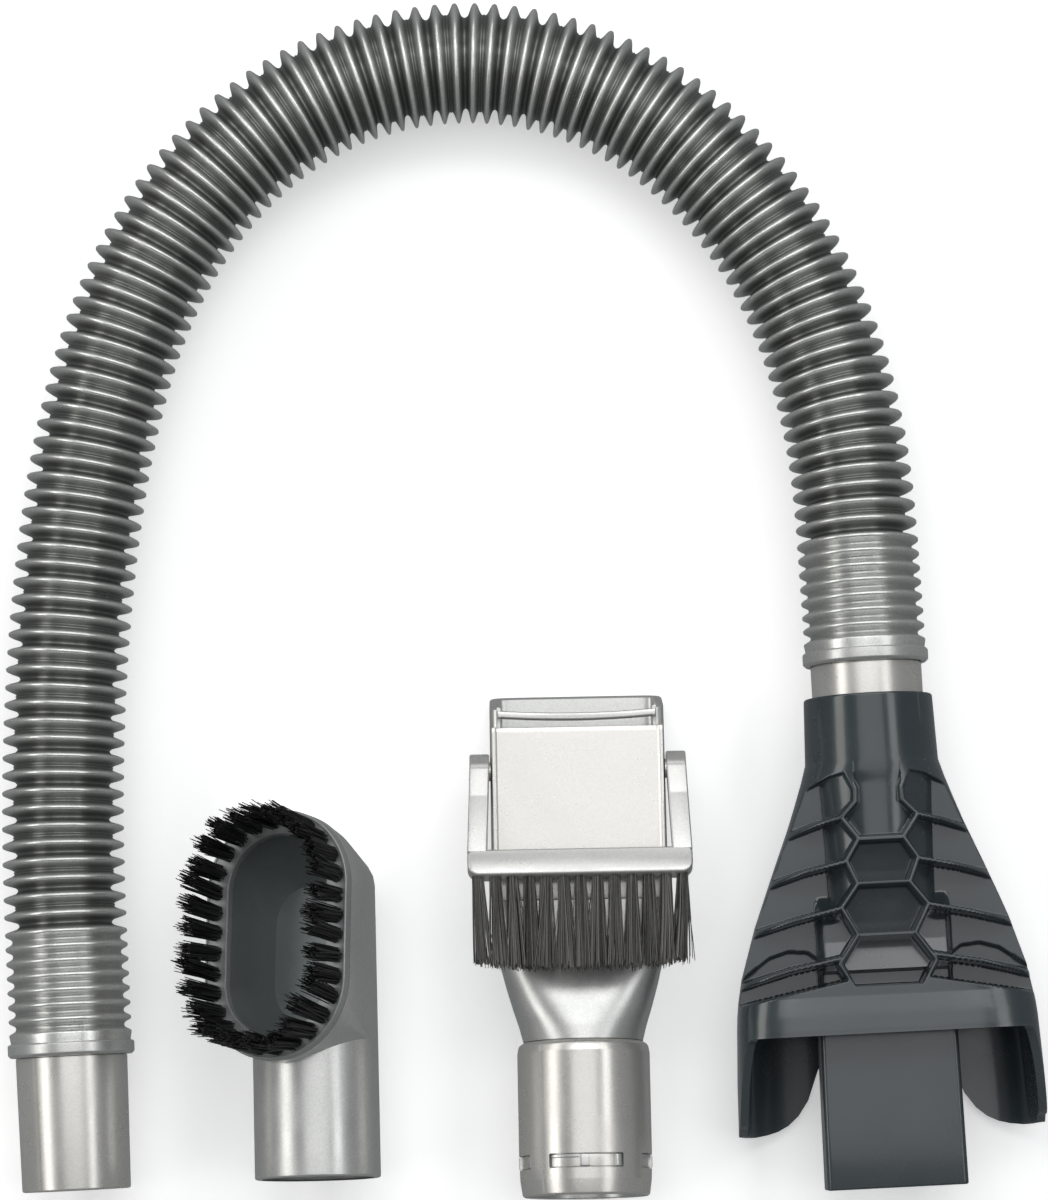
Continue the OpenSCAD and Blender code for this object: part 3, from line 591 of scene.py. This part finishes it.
def tube_from(secs_out, secs_in, end_round=0.6):
    rings = [np.c_[p[:, 0], np.full(len(p), -v_), p[:, 1]] for v_, p in secs_out]
    v_, p = secs_out[-1]
    for a in (30, 60, 90):
        w = math.radians(a)
        sh = end_round * (1 - math.cos(w))
        c0 = np.sign(p) * np.minimum(np.abs(p), np.abs(p) - sh * 1.0 * (np.abs(p) > sh))
        rings.append(np.c_[c0[:, 0], np.full(len(p), -(v_ + end_round * math.sin(w))), c0[:, 1]])
    for v2, p in secs_in[::-1]:
        rings.append(np.c_[p[:, 0], np.full(len(p), -v2), p[:, 1]])
    rings[-len(secs_in)][:, 1] = rings[-len(secs_in) - 1][:, 1]
    n = len(rings[0]); V_ = np.vstack(rings)
    F_ = grid_faces(len(rings), n)
    last = (len(rings) - 1) * n
    F_ += [(j, (j + 1) % n, last + (j + 1) % n, last + j)[::-1] for j in range(n)]
    return V_, F_


v, f = tube_from(tongue_rings(0), tongue_rings(1.9))
tongue = make("adapter_tongue_duct", v, f, M_NECK, slate_mat, "adapter", "slate_plastic", ["adapter_duct"], angle=40)

# ------------------------------------------------------------ combination nozzle
MOUTH = 81.8
BODY = np.array([[MOUTH, 27.55, -15, 10, 10], [30, 27.75, -15.8, 10.6, 10], [16, 27.6, -16.4, 11.3, 8.5],
                 [8, 27.3, -16.8, 12.3, 7], [2, 26.8, -17.2, 13.2, 5.6], [-5, 25.6, -17.7, 14.4, 4.3], [-12, 23.9, -18.1, 15.8, 3.4], [-19, 21.9, -18.5, 17.2, 2.7],
                 [-25, 20.0, -18.7, 18.3, 2.2], [-29.7, 18.8, -18.8, 18.8, 2]])[::-1]


def body_at(y):
    return [np.interp(y, BODY[:, 0], BODY[:, k]) for k in (1, 2, 3, 4)]


YR = np.r_[np.linspace(MOUTH, 71, 8), np.linspace(69.2, 31, 12), np.linspace(29, -29.7, 60)]
NS = 120
tt = []
for q in range(4):      # closer points round the four corners
    x = np.linspace(0, 1, NS // 4, endpoint=False)
    tt += ((q + x) * math.pi / 2).tolist()
tt = np.array(tt)


def noz_rings(off, slant=True):
    out = []
    for y in YR:
        a, zl, zh, e = body_at(y)
        zc_, zb_ = (zl + zh) / 2, (zh - zl) / 2 - off
        a = a - off
        cs, sn = np.cos(tt), np.sin(tt)
        # radial form keeps the points even round the corners
        rr = 1 / (np.abs(cs) ** e + np.abs(sn) ** e) ** (1 / e)
        x = a * rr * cs; z = zc_ + zb_ * rr * sn
        yy = np.full(NS, y)
        if y > 70.9:
            kx = (y - 71) / (MOUTH - 71)
            yy = yy - kx * (z + 15) * math.tan(math.radians(16)) * 1.0
        out.append(np.c_[x, yy, z])
    return out


o_r, i_r = noz_rings(0), noz_rings(2.4)
i_r = i_r[:-1] + [np.c_[15.6 * np.cos(tt), np.full(NS, -33.0), 15.6 * np.sin(tt)], np.c_[15.6 * np.cos(tt), np.full(NS, -37.2), 15.6 * np.sin(tt)]]
stem = [(18.0, -29.9), (18.0, -34.3), (19.0, -34.4), (19.0, -36.9), (18.6, -37.2)]
o_r = o_r + [np.c_[r * np.cos(tt), np.full(NS, y), r * np.sin(tt)] for r, y in stem]
# a rounded lip at the mouth
lip = []
for a_ in (0.35, 0.8):
    lip.append(o_r[0] * (1 - a_ * 0.0) * np.array([1, 1, 1]) + (i_r[0] - o_r[0]) * (0.12 if a_ < 0.5 else 0.35) + np.array([0, 0.35 if a_ < 0.5 else 0.5, 0]))
    if a_ == 0.35: pass
lip2 = [i_r[0] + (o_r[0] - i_r[0]) * 0.35 + np.array([0, 0.5, 0]), i_r[0] + (o_r[0] - i_r[0]) * 0.12 + np.array([0, 0.35, 0])]
rings = o_r[::-1] + lip + lip2 + i_r
V_ = np.vstack(rings); n_r = len(rings)
F_ = grid_faces(n_r, NS)
last = (n_r - 1) * NS
F_ += [(last + j, last + (j + 1) % NS, (j + 1) % NS, j) for j in range(NS)]
nozzle = make("nozzle_housing", V_, F_, M_NOZ, silver_mat, "nozzle", "silver_plastic", ["nozzle_body"], angle=35)


def cut(o, tools, op="DIFFERENCE"):
    for t in tools:
        md = o.modifiers.new("b", "BOOLEAN"); md.operation = op; md.solver = "EXACT"; md.object = t
        dg = bpy.context.evaluated_depsgraph_get()
        me = bpy.data.meshes.new_from_object(o.evaluated_get(dg))
        o.modifiers.clear(); old = o.data; mats = list(old.materials)
        o.data = me
        if not me.materials and mats:
            me.materials.append(mats[0])
        bpy.data.objects.remove(t)


def tool_mesh(verts, faces, M):
    v = (np.asarray(verts, float) @ M[:3, :3].T + M[:3, 3]) * 0.001
    me = bpy.data.meshes.new("t"); me.from_pydata(v.tolist(), [], [list(map(int, f)) for f in faces])
    bm = bmesh.new(); bm.from_mesh(me); bmesh.ops.recalc_face_normals(bm, faces=bm.faces); bm.to_mesh(me); bm.free()
    o = bpy.data.objects.new("t", me); sc.collection.objects.link(o)
    return o


def prism(outline, z0, z1, r=0.0):
    """Closed prism along local Z from an outline, with rounded upper and lower edges."""
    P = np.asarray(outline, float)
    n = len(P)
    if r > 0:
        c = P.mean(0)
        nx = np.roll(P, -1, 0) - np.roll(P, 1, 0)
        area = 0.5 * np.sum(P[:, 0] * np.roll(P[:, 1], -1) - np.roll(P[:, 0], -1) * P[:, 1])
        nrm = np.c_[nx[:, 1], -nx[:, 0]] / (np.linalg.norm(nx, axis=1)[:, None] + 1e-12) * (1 if area > 0 else -1)
        lay = []
        for w in (0, 30, 60, 90):
            k_ = math.radians(w); lay.append((P - nrm * r * (1 - math.sin(k_)), z0 + r * (1 - math.cos(k_))))
        for w in (90, 60, 30, 0):
            k_ = math.radians(w); lay.append((P - nrm * r * (1 - math.sin(k_)), z1 - r * (1 - math.cos(k_))))
    else:
        lay = [(P, z0), (P, z1)]
    V_ = np.vstack([np.c_[p, np.full(n, z)] for p, z in lay])
    F_ = grid_faces(len(lay), n) + [tuple(range(n))[::-1], tuple(range((len(lay) - 1) * n, len(lay) * n))]
    return V_, F_


# recess that the front plate lies in
v, f = prism([(-27.05, 14), (27.05, 14), (27.05, 69), (-27.05, 69)], 10.0, 14)
t1 = tool_mesh(v, f, M_NOZ)
v, f = prism([(-25.2, 69.0), (25.2, 69.0), (25.2, 90), (-25.2, 90)], 6.6, 16)
t2 = tool_mesh(v, f, M_NOZ)
cut(nozzle, [t1, t2]); finish_mesh(nozzle.data, 32)

# the two bosses, in the arms' holes
for sx, nm in ((1, "r"), (-1, "l")):
    v, f = lathe(fillet([(0.01, 0), (3.0, 0), (3.0, 4.1, 0.4), (0.01, 4.1)], 3), 40)
    Mb = M_NOZ @ T([sx * 27.5, 55.5, 7]) @ Rz(90 * sx)
    make("pivot_boss_" + nm, v, f, Mb, silver_mat, "nozzle", "silver_plastic")

# front plate with raised side edges and a very slight crown
px = np.r_[-27.0, -26.9, -26.65, -26.3, -25.95, -25.6, -25.3, np.linspace(-24, 24, 25), 25.3, 25.6, 25.95, 26.3, 26.65, 26.9, 27.0]
hz = np.r_[11.55, 11.72, 11.8, 11.8, 11.72, 11.5, 11.32, np.full(25, 0.0) + 11.3 + 0.02 * np.cos(np.linspace(-1.5, 1.5, 25)), 11.32, 11.5, 11.72, 11.8, 11.8, 11.72, 11.55]
py = np.r_[14.1, 14.25, 14.6, np.linspace(16, 67, 18), 68.3, 68.75, 68.95]
dz = np.r_[0.35, 0.1, 0.0, np.zeros(18), 0.0, 0.12, 0.4]
Vp = [[(x, y, h - d) for x, h in zip(px, hz)] for y, d in zip(py, dz)]
Vb = [[(x, y, 10.05) for x in px] for y in py]
n_, m_ = len(px), len(py)
V_ = np.array(Vp + Vb).reshape(-1, 3)
F_ = grid_faces(m_, n_, wrap=False) + grid_faces(m_, n_, wrap=False, base=m_ * n_)
o2 = m_ * n_
for j in range(n_ - 1):
    F_.append((j, j + 1, o2 + j + 1, o2 + j)); q = (m_ - 1) * n_; F_.append((q + j, q + j + 1, o2 + q + j + 1, o2 + q + j))
for i in range(m_ - 1):
    F_.append((i * n_, (i + 1) * n_, o2 + (i + 1) * n_, o2 + i * n_)); F_.append((i * n_ + n_ - 1, (i + 1) * n_ + n_ - 1, o2 + (i + 1) * n_ + n_ - 1, o2 + i * n_ + n_ - 1))
make("nozzle_front_panel", V_, F_, M_NOZ, plate_mat, "nozzle", "pale_silver", ["nozzle_front_plate"], angle=30)

# cross bar in the mouth, bowed towards the plate
k = np.linspace(-1, 1, 41)
bar = np.vstack([np.c_[k * 25.0, 71.3 + k * k], np.c_[k[::-1] * 25.0, 73.5 + k * k * 1.0]])
v, f = prism(bar, 6.6, 10.3, 0.45)
make("nozzle_cross_bar", v, f, M_NOZ, silver_mat, "nozzle", "silver_plastic", ["nozzle_lip_bar"], angle=40)

# ------------------------------------------------------------ flip brush
def arm_outline():
    pts = []
    for a in np.linspace(0, 180, 15):
        pts.append((5.6 * math.sin(math.radians(90 - a)) , 5.9 * math.cos(math.radians(90 - a))))
    return pts


for sx, nm in ((1, "r"), (-1, "l")):
    # seen from the side: y along the arm, z its height; swept across x with rounded edges
    side_out = fillet([(5.6, 2.4, 3.2), (5.6, -3.6, 2.5), (-29.0, -2.9, 0.4), (-29.0, 2.95, 0.4), (-10, 3.9, 8), (0, 5.2, 5)], 6)
    v, f = prism(side_out, -3.1, 3.1, 0.55)
    # prism's z becomes x
    v = np.c_[v[:, 2], v[:, 0], v[:, 1]]
    lean = -sx * 0.9 + sx * 1.1 * (-(v[:, 1]) / 28.0).clip(0, 1)
    v[:, 0] += sx * 31.9 + lean
    ob = make("brush_arm_" + nm, v, f, M_PIV, frame_mat, "flip_brush", "silver_plastic", angle=40)
# the bar: a long block with full round ends and soft edges
bo_ = fillet([(-35.2, -28.1, 2.0), (-35.2, -36.8, 3.6), (35.2, -36.8, 3.6), (35.2, -28.1, 2.0)], 8)
v, f = prism(bo_, -2.9, 2.95, 0.7)
bar_o = make("brush_bar", v, f, M_PIV, frame_mat, "flip_brush", "silver_plastic", ["flip_brush_frame"], angle=40)


# ------------------------------------------------------------ bristles
def strands(name, roots, dirs, lens, rad, M, mat, body, slot, nodes, segs=4, sides=4, bend=0.0, bend_dirs=None, tones=None):
    V_, F_, tone = [], [], []
    base = 0
    for i in range(len(roots)):
        d = dirs[i] / np.linalg.norm(dirs[i])
        ref = np.array([1.0, 0, 0]) if abs(d[0]) < 0.9 else np.array([0, 1.0, 0])
        s_ = np.cross(d, ref); s_ /= np.linalg.norm(s_); t_ = np.cross(d, s_)
        ph = rng.uniform(0, 6.28)
        for j in range(segs + 1):
            q = j / segs
            p = roots[i] + d * lens[i] * q
            if bend_dirs is not None:
                p = p + bend_dirs[i] * q * q
            r = rad * (1 - 0.35 * q)
            for k_ in range(sides):
                w = ph + 2 * math.pi * k_ / sides
                V_.append(p + r * (math.cos(w) * s_ + math.sin(w) * t_)); tone.append(tones[i] * (0.7 + 0.45 * q) if tones is not None else 0.5)
        for j in range(segs):
            for k_ in range(sides):
                a = base + j * sides + k_; b = base + j * sides + (k_ + 1) % sides
                F_.append((a, b, b + sides, a + sides))
        F_.append(tuple(base + k_ for k_ in range(sides))[::-1])
        F_.append(tuple(base + segs * sides + k_ for k_ in range(sides)))
        base += (segs + 1) * sides
    o = make(name, V_, F_, M, mat, body, slot, nodes, angle=80, recalc=False)
    at_ = o.data.attributes.new("strand", "FLOAT", "POINT")
    at_.data.foreach_set("value", np.array(tone, np.float32))
    return o


# flip brush: 13 flat tufts that fan out until they touch
NT = 13
sway = rng.normal(0, 0.010, 13)
span = 71 - 7
roots, dirs, lens, bends, tones = [], [], [], [], []
for k_ in range(NT):
    cx = -span / 2 + k_ * span / (NT - 1)
    tone0 = rng.uniform(0.3, 0.6)
    nf = 100
    for i in range(nf):
        a, q = rng.uniform(0, 2 * math.pi), math.sqrt(rng.uniform(0, 1))
        ox, oz = 1.75 * q * math.cos(a), 1.5 * q * math.sin(a)
        roots.append(np.array([cx + ox, -36.0, oz]))
        edge = (cx / (span / 2))
        fan = ox / 1.75 * 0.036 + rng.normal(0, 0.012) + (rng.normal(0, 0.06) if rng.uniform() < 0.07 else 0)
        dirs.append(np.array([fan - 0.02 * edge + sway[k_], -1.0, oz * 0.012 + rng.normal(0, 0.008)]))
        L_ = 31.4 + rng.normal(0, 0.55) - 2.0 * abs(edge) ** 4 - (rng.uniform(0, 5) if rng.uniform() < 0.06 else 0)
        lens.append(L_)
        bends.append(np.array([-0.7 * edge * abs(edge) ** 2 + rng.normal(0, 0.25), 0, rng.normal(-0.2, 0.2)]))
        # strand tone: random per tuft and per strand, and darker towards each tuft's sides as painted shade between the
        # tufts
        tones.append(np.clip(tone0 + rng.normal(0, 0.22) - 0.22 * abs(ox / 1.75) ** 2, 0.03, 1.0))
strands("flip_brush_bristles", roots, dirs, lens, 0.19, M_PIV, grey_bristle, "flip_brush", "bristle_grey", ["flip_brush_tufts"], segs=4, sides=4,
        bend_dirs=bends, tones=tones)

# ------------------------------------------------------------ swivel collar and insert
L_, RC = 48.0, 20.8
cp = fillet([(18.08, 0), (RC - 2.0, 0, 0.3), (RC - 0.5, 0.9, 1.6), (RC, 3.4, 2), (RC, L_ - 12), (RC - 0.25, L_ - 5, 2), (RC - 0.9, L_ - 0.5, 0.7), (RC - 1.5, L_, 0.3), (19.1, L_), (19.1, 4.2), (18.08, 4.2)], 5)


def parting(r, d, t):
    k1 = np.abs((t - math.radians(130) + math.pi) % (2 * math.pi) - math.pi)
    k2 = np.abs((t - math.radians(310) + math.pi) % (2 * math.pi) - math.pi)
    hit = np.minimum(k1, k2)
    return r - 0.07 * (hit < 0.012) * (r > 19.5)


v, f = lathe(cp, 240, parting)
collar = make("swivel_collar_sleeve", v, f, M_COL, pale_mat, "nozzle_collar", "pale_silver", ["swivel_collar"], angle=35)
tools = []
for a in (0, 90, 180, 270):
    v, f = prism(fillet([(-11.5, -39.7, 0.5), (11.5, -39.7, 0.5), (11.5, -35.2, 0.5), (-11.5, -35.2, 0.5)], 3), 15, 25)
    tools.append(tool_mesh(v, f, M_COL @ Ry(a)))
cut(collar, tools); finish_mesh(collar.data, 35)
ip = fillet([(17.6, 7.1), (19.05, 7.1, 0.3), (19.05, L_ - 0.9, 0.3), (18.3, L_ - 0.15, 0.5), (17.6, L_ - 0.15, 0.3)], 4)
v, f = lathe(ip, 160)
make("socket_sleeve", v, f, M_COL, silver_mat, "nozzle_collar", "silver_plastic", ["socket_insert"], angle=35)


def curved_block(x0, x1, y0, y1, r0, r1, steps=16, bev=0.25):
    """A block that follows the sleeve's round, from angle x0/r to x1/r about +Z, between two radii."""
    rings_ = []
    prof_ = fillet([(y0, r0), (y1, r0), (y1, r1, bev), (y0, r1, bev)], 3)
    for q in np.linspace(0, 1, steps + 1):
        a = (x0 + (x1 - x0) * q) / 20.0
        sh = 0.12 if q in (0, 1) else 0
        rings_.append(np.array([((p[1] - sh) * math.sin(a), p[0], (p[1] - sh) * math.cos(a)) for p in prof_]))
    n = len(prof_)
    V_ = np.vstack(rings_)
    F_ = grid_faces(len(rings_), n) + [tuple(range(n))[::-1], tuple(range((len(rings_) - 1) * n, len(rings_) * n))]
    return V_, F_


for i, a in enumerate((0, 90, 180, 270)):
    for nm, blk in (("snap", curved_block(-11.3, 11.3, -39.45, -35.45, 18.6, 19.9)), ("snap_shade", curved_block(-11.3, -2.2, -36.6, -35.5, 19.8, 20.35)),
                    ("snap_rib", curved_block(-1.9, 1.0, -39.3, -35.6, 19.6, 20.85, 6)), ("snap_edge", curved_block(9.6, 11.3, -39.3, -35.6, 19.6, 20.5, 6))):
        make(f"{nm}_{i}", *blk, M_COL @ Ry(a), silver_mat if nm != "snap" else pale_mat, "nozzle_collar", "silver_plastic", angle=35)

# ------------------------------------------------------------ dusting brush
TR = 19.7
EO = [(49.8, 78.5), (34.8, 63.3)]


def stad(w, h, n=96):
    """Points round an oval with straight sides along Y and nearly round ends."""
    r, e = w / 2, h - w
    Lq = 2 * e + 2 * math.pi * r
    out = []
    for q in np.arange(n) / n * Lq:
        if q < e: out.append((r, -e / 2 + q))
        elif q < e + math.pi * r:
            a = (q - e) / r; out.append((r * math.cos(a), e / 2 + r * math.sin(a)))
        elif q < 2 * e + math.pi * r: out.append((-r, e / 2 - (q - e - math.pi * r)))
        else:
            a = math.pi + (q - 2 * e - math.pi * r) / r; out.append((r * math.cos(a), -e / 2 + r * math.sin(a)))
    return np.array(out)


def hull_obj(points):
    me = bpy.data.meshes.new("h"); bm = bmesh.new()
    for p in points: bm.verts.new(p * 0.001)
    bm.verts.ensure_lookup_table()
    r = bmesh.ops.convex_hull(bm, input=bm.verts)
    junk = [g for g in r["geom_interior"] + r["geom_unused"] if isinstance(g, bmesh.types.BMVert)]
    bmesh.ops.delete(bm, geom=list(set(junk)), context="VERTS")
    bmesh.ops.recalc_face_normals(bm, faces=bm.faces)
    bm.to_mesh(me); bm.free()
    o = bpy.data.objects.new("h", me); sc.collection.objects.link(o)
    return o


def pts_in(M, P):
    P = np.asarray(P, float)
    return P @ M[:3, :3].T + M[:3, 3]


def oval(w, h, z, n=128):
    s_ = stad(w, h, n); return np.c_[s_, np.full(len(s_), z)]


def circ(r, y, n=96):
    a = np.arange(n) * 2 * math.pi / n
    return np.c_[r * np.cos(a), np.full(n, y), r * np.sin(a)]


w0, h0 = EO[0]
shoulder = np.vstack([pts_in(M_FACE, oval(w0 - 1.6, h0 - 1.6, -6.0)), pts_in(M_FACE, oval(w0 - 2.2, h0 - 2.2, -13.5)),
                      pts_in(M_DUST, circ(TR, -30)), pts_in(M_DUST, circ(TR, 19)), pts_in(M_DUST, circ(TR - 0.5, 22)), pts_in(M_DUST, circ(TR - 2.0, 25)),
                      pts_in(M_DUST, circ(TR - 4.6, 28)), pts_in(M_DUST, circ(TR - 8, 30))])
body_o = hull_obj(shoulder)
flange = hull_obj(np.vstack([pts_in(M_FACE, oval(w0, h0, -3.2)), pts_in(M_FACE, oval(w0, h0, -6.6)), pts_in(M_FACE, oval(w0 - 1.0, h0 - 1.0, -7.3))]))
v, f = lathe(fillet([(0.01, -10), (TR, -10), (TR - 0.0, 72.4, 0.7), (0.01, 72.4)], 5), 160)
tube_o = tool_mesh(v, f, M_DUST)
tube_o.data.transform(Matrix.Identity(4))
cut(body_o, [tube_o, flange], "UNION")
v, f = lathe(fillet([(0.01, 2.0), (15.4, 2.0), (15.4, 33.5), (17.6, 33.6), (17.6, 76), (0.01, 76)], 2), 120)
bore_o = tool_mesh(v, f, M_DUST)
cav = hull_obj(np.vstack([pts_in(M_FACE, oval(w0 - 15, h0 - 15.2, 1)), pts_in(M_FACE, oval(w0 - 15, h0 - 15.2, -5)), pts_in(M_FACE, oval(w0 - 16.5, h0 - 19, -12)),
                          pts_in(M_FACE, oval(w0 - 20, h0 - 26, -18) + np.array([0, -1.5, 0])), pts_in(M_FACE, oval(w0 - 26, h0 - 35, -22) + np.array([0, -3, 0]))]))
cut(body_o, [bore_o, cav])
body_o.name = "dusting_brush_housing"
finish_mesh(body_o.data, 28)
# the inside of the cavity and the bore get a darker second material by face position: painted shade in the hollows
dress(body_o, silver_mat, "dusting_brush", ["dusting_brush_body"])
body_o.data.materials.append(cavity_shade_mat)
Mi = np.linalg.inv(M_FACE)
co = np.zeros(len(body_o.data.vertices) * 3); body_o.data.vertices.foreach_get("co", co); co = co.reshape(-1, 3) * 1000
loc = co @ Mi[:3, :3].T + Mi[:3, 3]
Mj = np.linalg.inv(M_DUST); ld = co @ Mj[:3, :3].T + Mj[:3, 3]
for p in body_o.data.polygons:
    q = loc[list(p.vertices)]; d_ = ld[list(p.vertices)].mean(0)
    ins = (np.abs(q[:, 0]) < 17.55).all() and (np.abs(q[:, 1]) < 31.8).all() and (q[:, 2] > -23.0).all()
    if ins or (math.hypot(d_[0], d_[2]) < 17.75 and d_[1] < 2 and d_[1] > -71.8):
        p.material_index = 1

# the ring that holds the tufts: a flat face with soft edges and a fine bead round its outside
so, si_ = stad(w0, h0, 160), stad(w0 - 15, h0 - 15.2, 160)
nrm = np.roll(so, -1, 0) - np.roll(so, 1, 0); nrm = np.c_[nrm[:, 1], -nrm[:, 0]] / np.linalg.norm(nrm, axis=1)[:, None]
nri = np.roll(si_, -1, 0) - np.roll(si_, 1, 0); nri = np.c_[nri[:, 1], -nri[:, 0]] / np.linalg.norm(nri, axis=1)[:, None]
lay = [(so, 0, -2.95), (so, 0, -0.55), (so, -0.12, -0.2), (so, -0.4, 0.0), (so, -0.75, -0.02), (so, -0.95, -0.3), (so, -1.2, -0.38), (so, -3.5, -0.4)]
rings = [np.c_[b + nrm * k_, np.full(len(b), z)] for b, k_, z in lay]
rings += [np.c_[si_ + nri * k_, np.full(len(si_), z)] for k_, z in ((2.5, -0.4), (0.9, -0.38), (0.35, -0.3), (0.0, -0.75), (0.0, -2.95))]
n = len(so)
V_ = np.vstack(rings); F_ = grid_faces(len(rings), n)
last = (len(rings) - 1) * n
F_ += [(last + j, last + (j + 1) % n, (j + 1) % n, j) for j in range(n)]
# the ring's darker silver is painted shade from the tufts
make("bristle_ring_face", V_, F_, M_FACE, ring_shade_silver_mat, "dusting_brush", "silver_plastic", ["bristle_ring"], angle=35)

# 30 tufts round the ring
mid = stad(w0 - 7.2, h0 - 7.2, 30 * 8)[::8]
roots, dirs, lens, bends, tones = [], [], [], [], []
for ti, (mx_, my_) in enumerate(mid):
    tone0 = rng.uniform(0.25, 0.6)
    lean = np.array([rng.normal(0, 0.035), rng.normal(0.0, 0.045)])
    outw = np.array([mx_ / 25, my_ / 40]) * 0.05
    tl = 18.0 + rng.normal(0, 0.4)
    for i in range(84):
        a, q = rng.uniform(0, 2 * math.pi), math.sqrt(rng.uniform(0, 1))
        ox, oy = 2.5 * q * math.cos(a), 2.5 * q * math.sin(a)
        roots.append(np.array([mx_ + ox, my_ + oy, -0.6]))
        dirs.append(np.array([lean[0] + outw[0] + ox * 0.008 + rng.normal(0, 0.017), lean[1] + outw[1] + oy * 0.008 + rng.normal(0, 0.017), 1.0]))
        lens.append(tl + rng.normal(0, 0.9) - (rng.uniform(0, 3) if rng.uniform() < 0.1 else 0))
        bends.append(np.array([rng.normal(0, 0.35), rng.normal(0, 0.35), 0]))
        tones.append(np.clip(tone0 + rng.normal(0, 0.25), 0.02, 1.0))
strands("dusting_bristles", roots, dirs, lens, 0.24, M_FACE, black_bristle, "dusting_brush", "bristle_black", ["dusting_tufts"], segs=3, sides=3,
        bend_dirs=bends, tones=tones)

# ------------------------------------------------------------ CAD nodes that stay
for nm in ("tool_end_insert", "adapter_end_insert"):
    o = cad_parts[nm]; o.data.materials.clear(); o.data.materials.append(insert_mat)

# ------------------------------------------------------------ floor and light
me = bpy.data.meshes.new("floor")
me.from_pydata([(-4, -4, -0.0003), (4, -4, -0.0003), (4, 4, -0.0003), (-4, 4, -0.0003)], [], [(0, 1, 2, 3)])
floor = bpy.data.objects.new("floor", me); sc.collection.objects.link(floor)
fm, nt, b = nodes_of("floor")
tc = nt.nodes.new("ShaderNodeTexCoord"); nz = nt.nodes.new("ShaderNodeTexNoise"); nz.inputs["Scale"].default_value = 3
nt.links.new(tc.outputs["Object"], nz.inputs["Vector"])
rp = nt.nodes.new("ShaderNodeValToRGB"); rp.color_ramp.elements[0].color = (0.93, 0.93, 0.93, 1); rp.color_ramp.elements[1].color = (0.95, 0.95, 0.95, 1)
nt.links.new(nz.outputs["Fac"], rp.inputs["Fac"]); nt.links.new(rp.outputs["Color"], b.inputs["Base Color"])
b.inputs["Roughness"].default_value = 0.9; b.inputs["Specular IOR Level"].default_value = 0.0
b.inputs["Emission Color"].default_value = (1, 1, 1, 1); b.inputs["Emission Strength"].default_value = 0.4
me.materials.append(fm)
floor.visible_glossy = False

world = bpy.data.worlds.new("world"); sc.world = world; world.use_nodes = True
world.node_tree.nodes["Background"].inputs["Color"].default_value = (0.92, 0.96, 1.0, 1)
world.node_tree.nodes["Background"].inputs["Strength"].default_value = 0.17


def strip(name, angle, dist, width, length, power, toward=(-0.02, 0.1, 0.02), yoff=0.0, colour=(1, 1, 1), pitch=0.0):
    """A soft box that runs along Y, at an angle from straight up."""
    li = bpy.data.lights.new(name, "AREA"); li.shape = "RECTANGLE"; li.size = width; li.size_y = length
    li.energy = power; li.color = colour
    o = bpy.data.objects.new(name, li); sc.collection.objects.link(o)
    a = math.radians(angle)
    o.location = (toward[0] + math.sin(a) * dist, toward[1] + yoff, toward[2] + math.cos(a) * dist)
    o.rotation_euler = (0, a, 0)
    return o


strip("key_left", -56, 1.9, 0.60, 2.8, 13, yoff=0.5, colour=(1.0, 0.985, 0.955))
strip("key_right", 39, 2.0, 0.45, 2.8, 8.5, yoff=0.5)
strip("top", 0, 2.3, 1.9, 2.6, 15.5, yoff=0.62)
north = bpy.data.lights.new("north", "AREA"); north.shape = "RECTANGLE"; north.size = 2.4; north.size_y = 0.5; north.energy = 9
no = bpy.data.objects.new("north", north); sc.collection.objects.link(no)
no.location = (0, 1.15, 2.1); no.rotation_euler = (-math.radians(26), 0, 0)
back = bpy.data.lights.new("back", "AREA"); back.shape = "RECTANGLE"; back.size = 3.0; back.size_y = 1.1; back.energy = 11
bo2 = bpy.data.objects.new("back", back); sc.collection.objects.link(bo2)
bo2.location = (0, 2.4, 1.3); bo2.rotation_euler = (Vector((0, 0.1, 0)) - bo2.location).to_track_quat("-Z", "Y").to_euler()
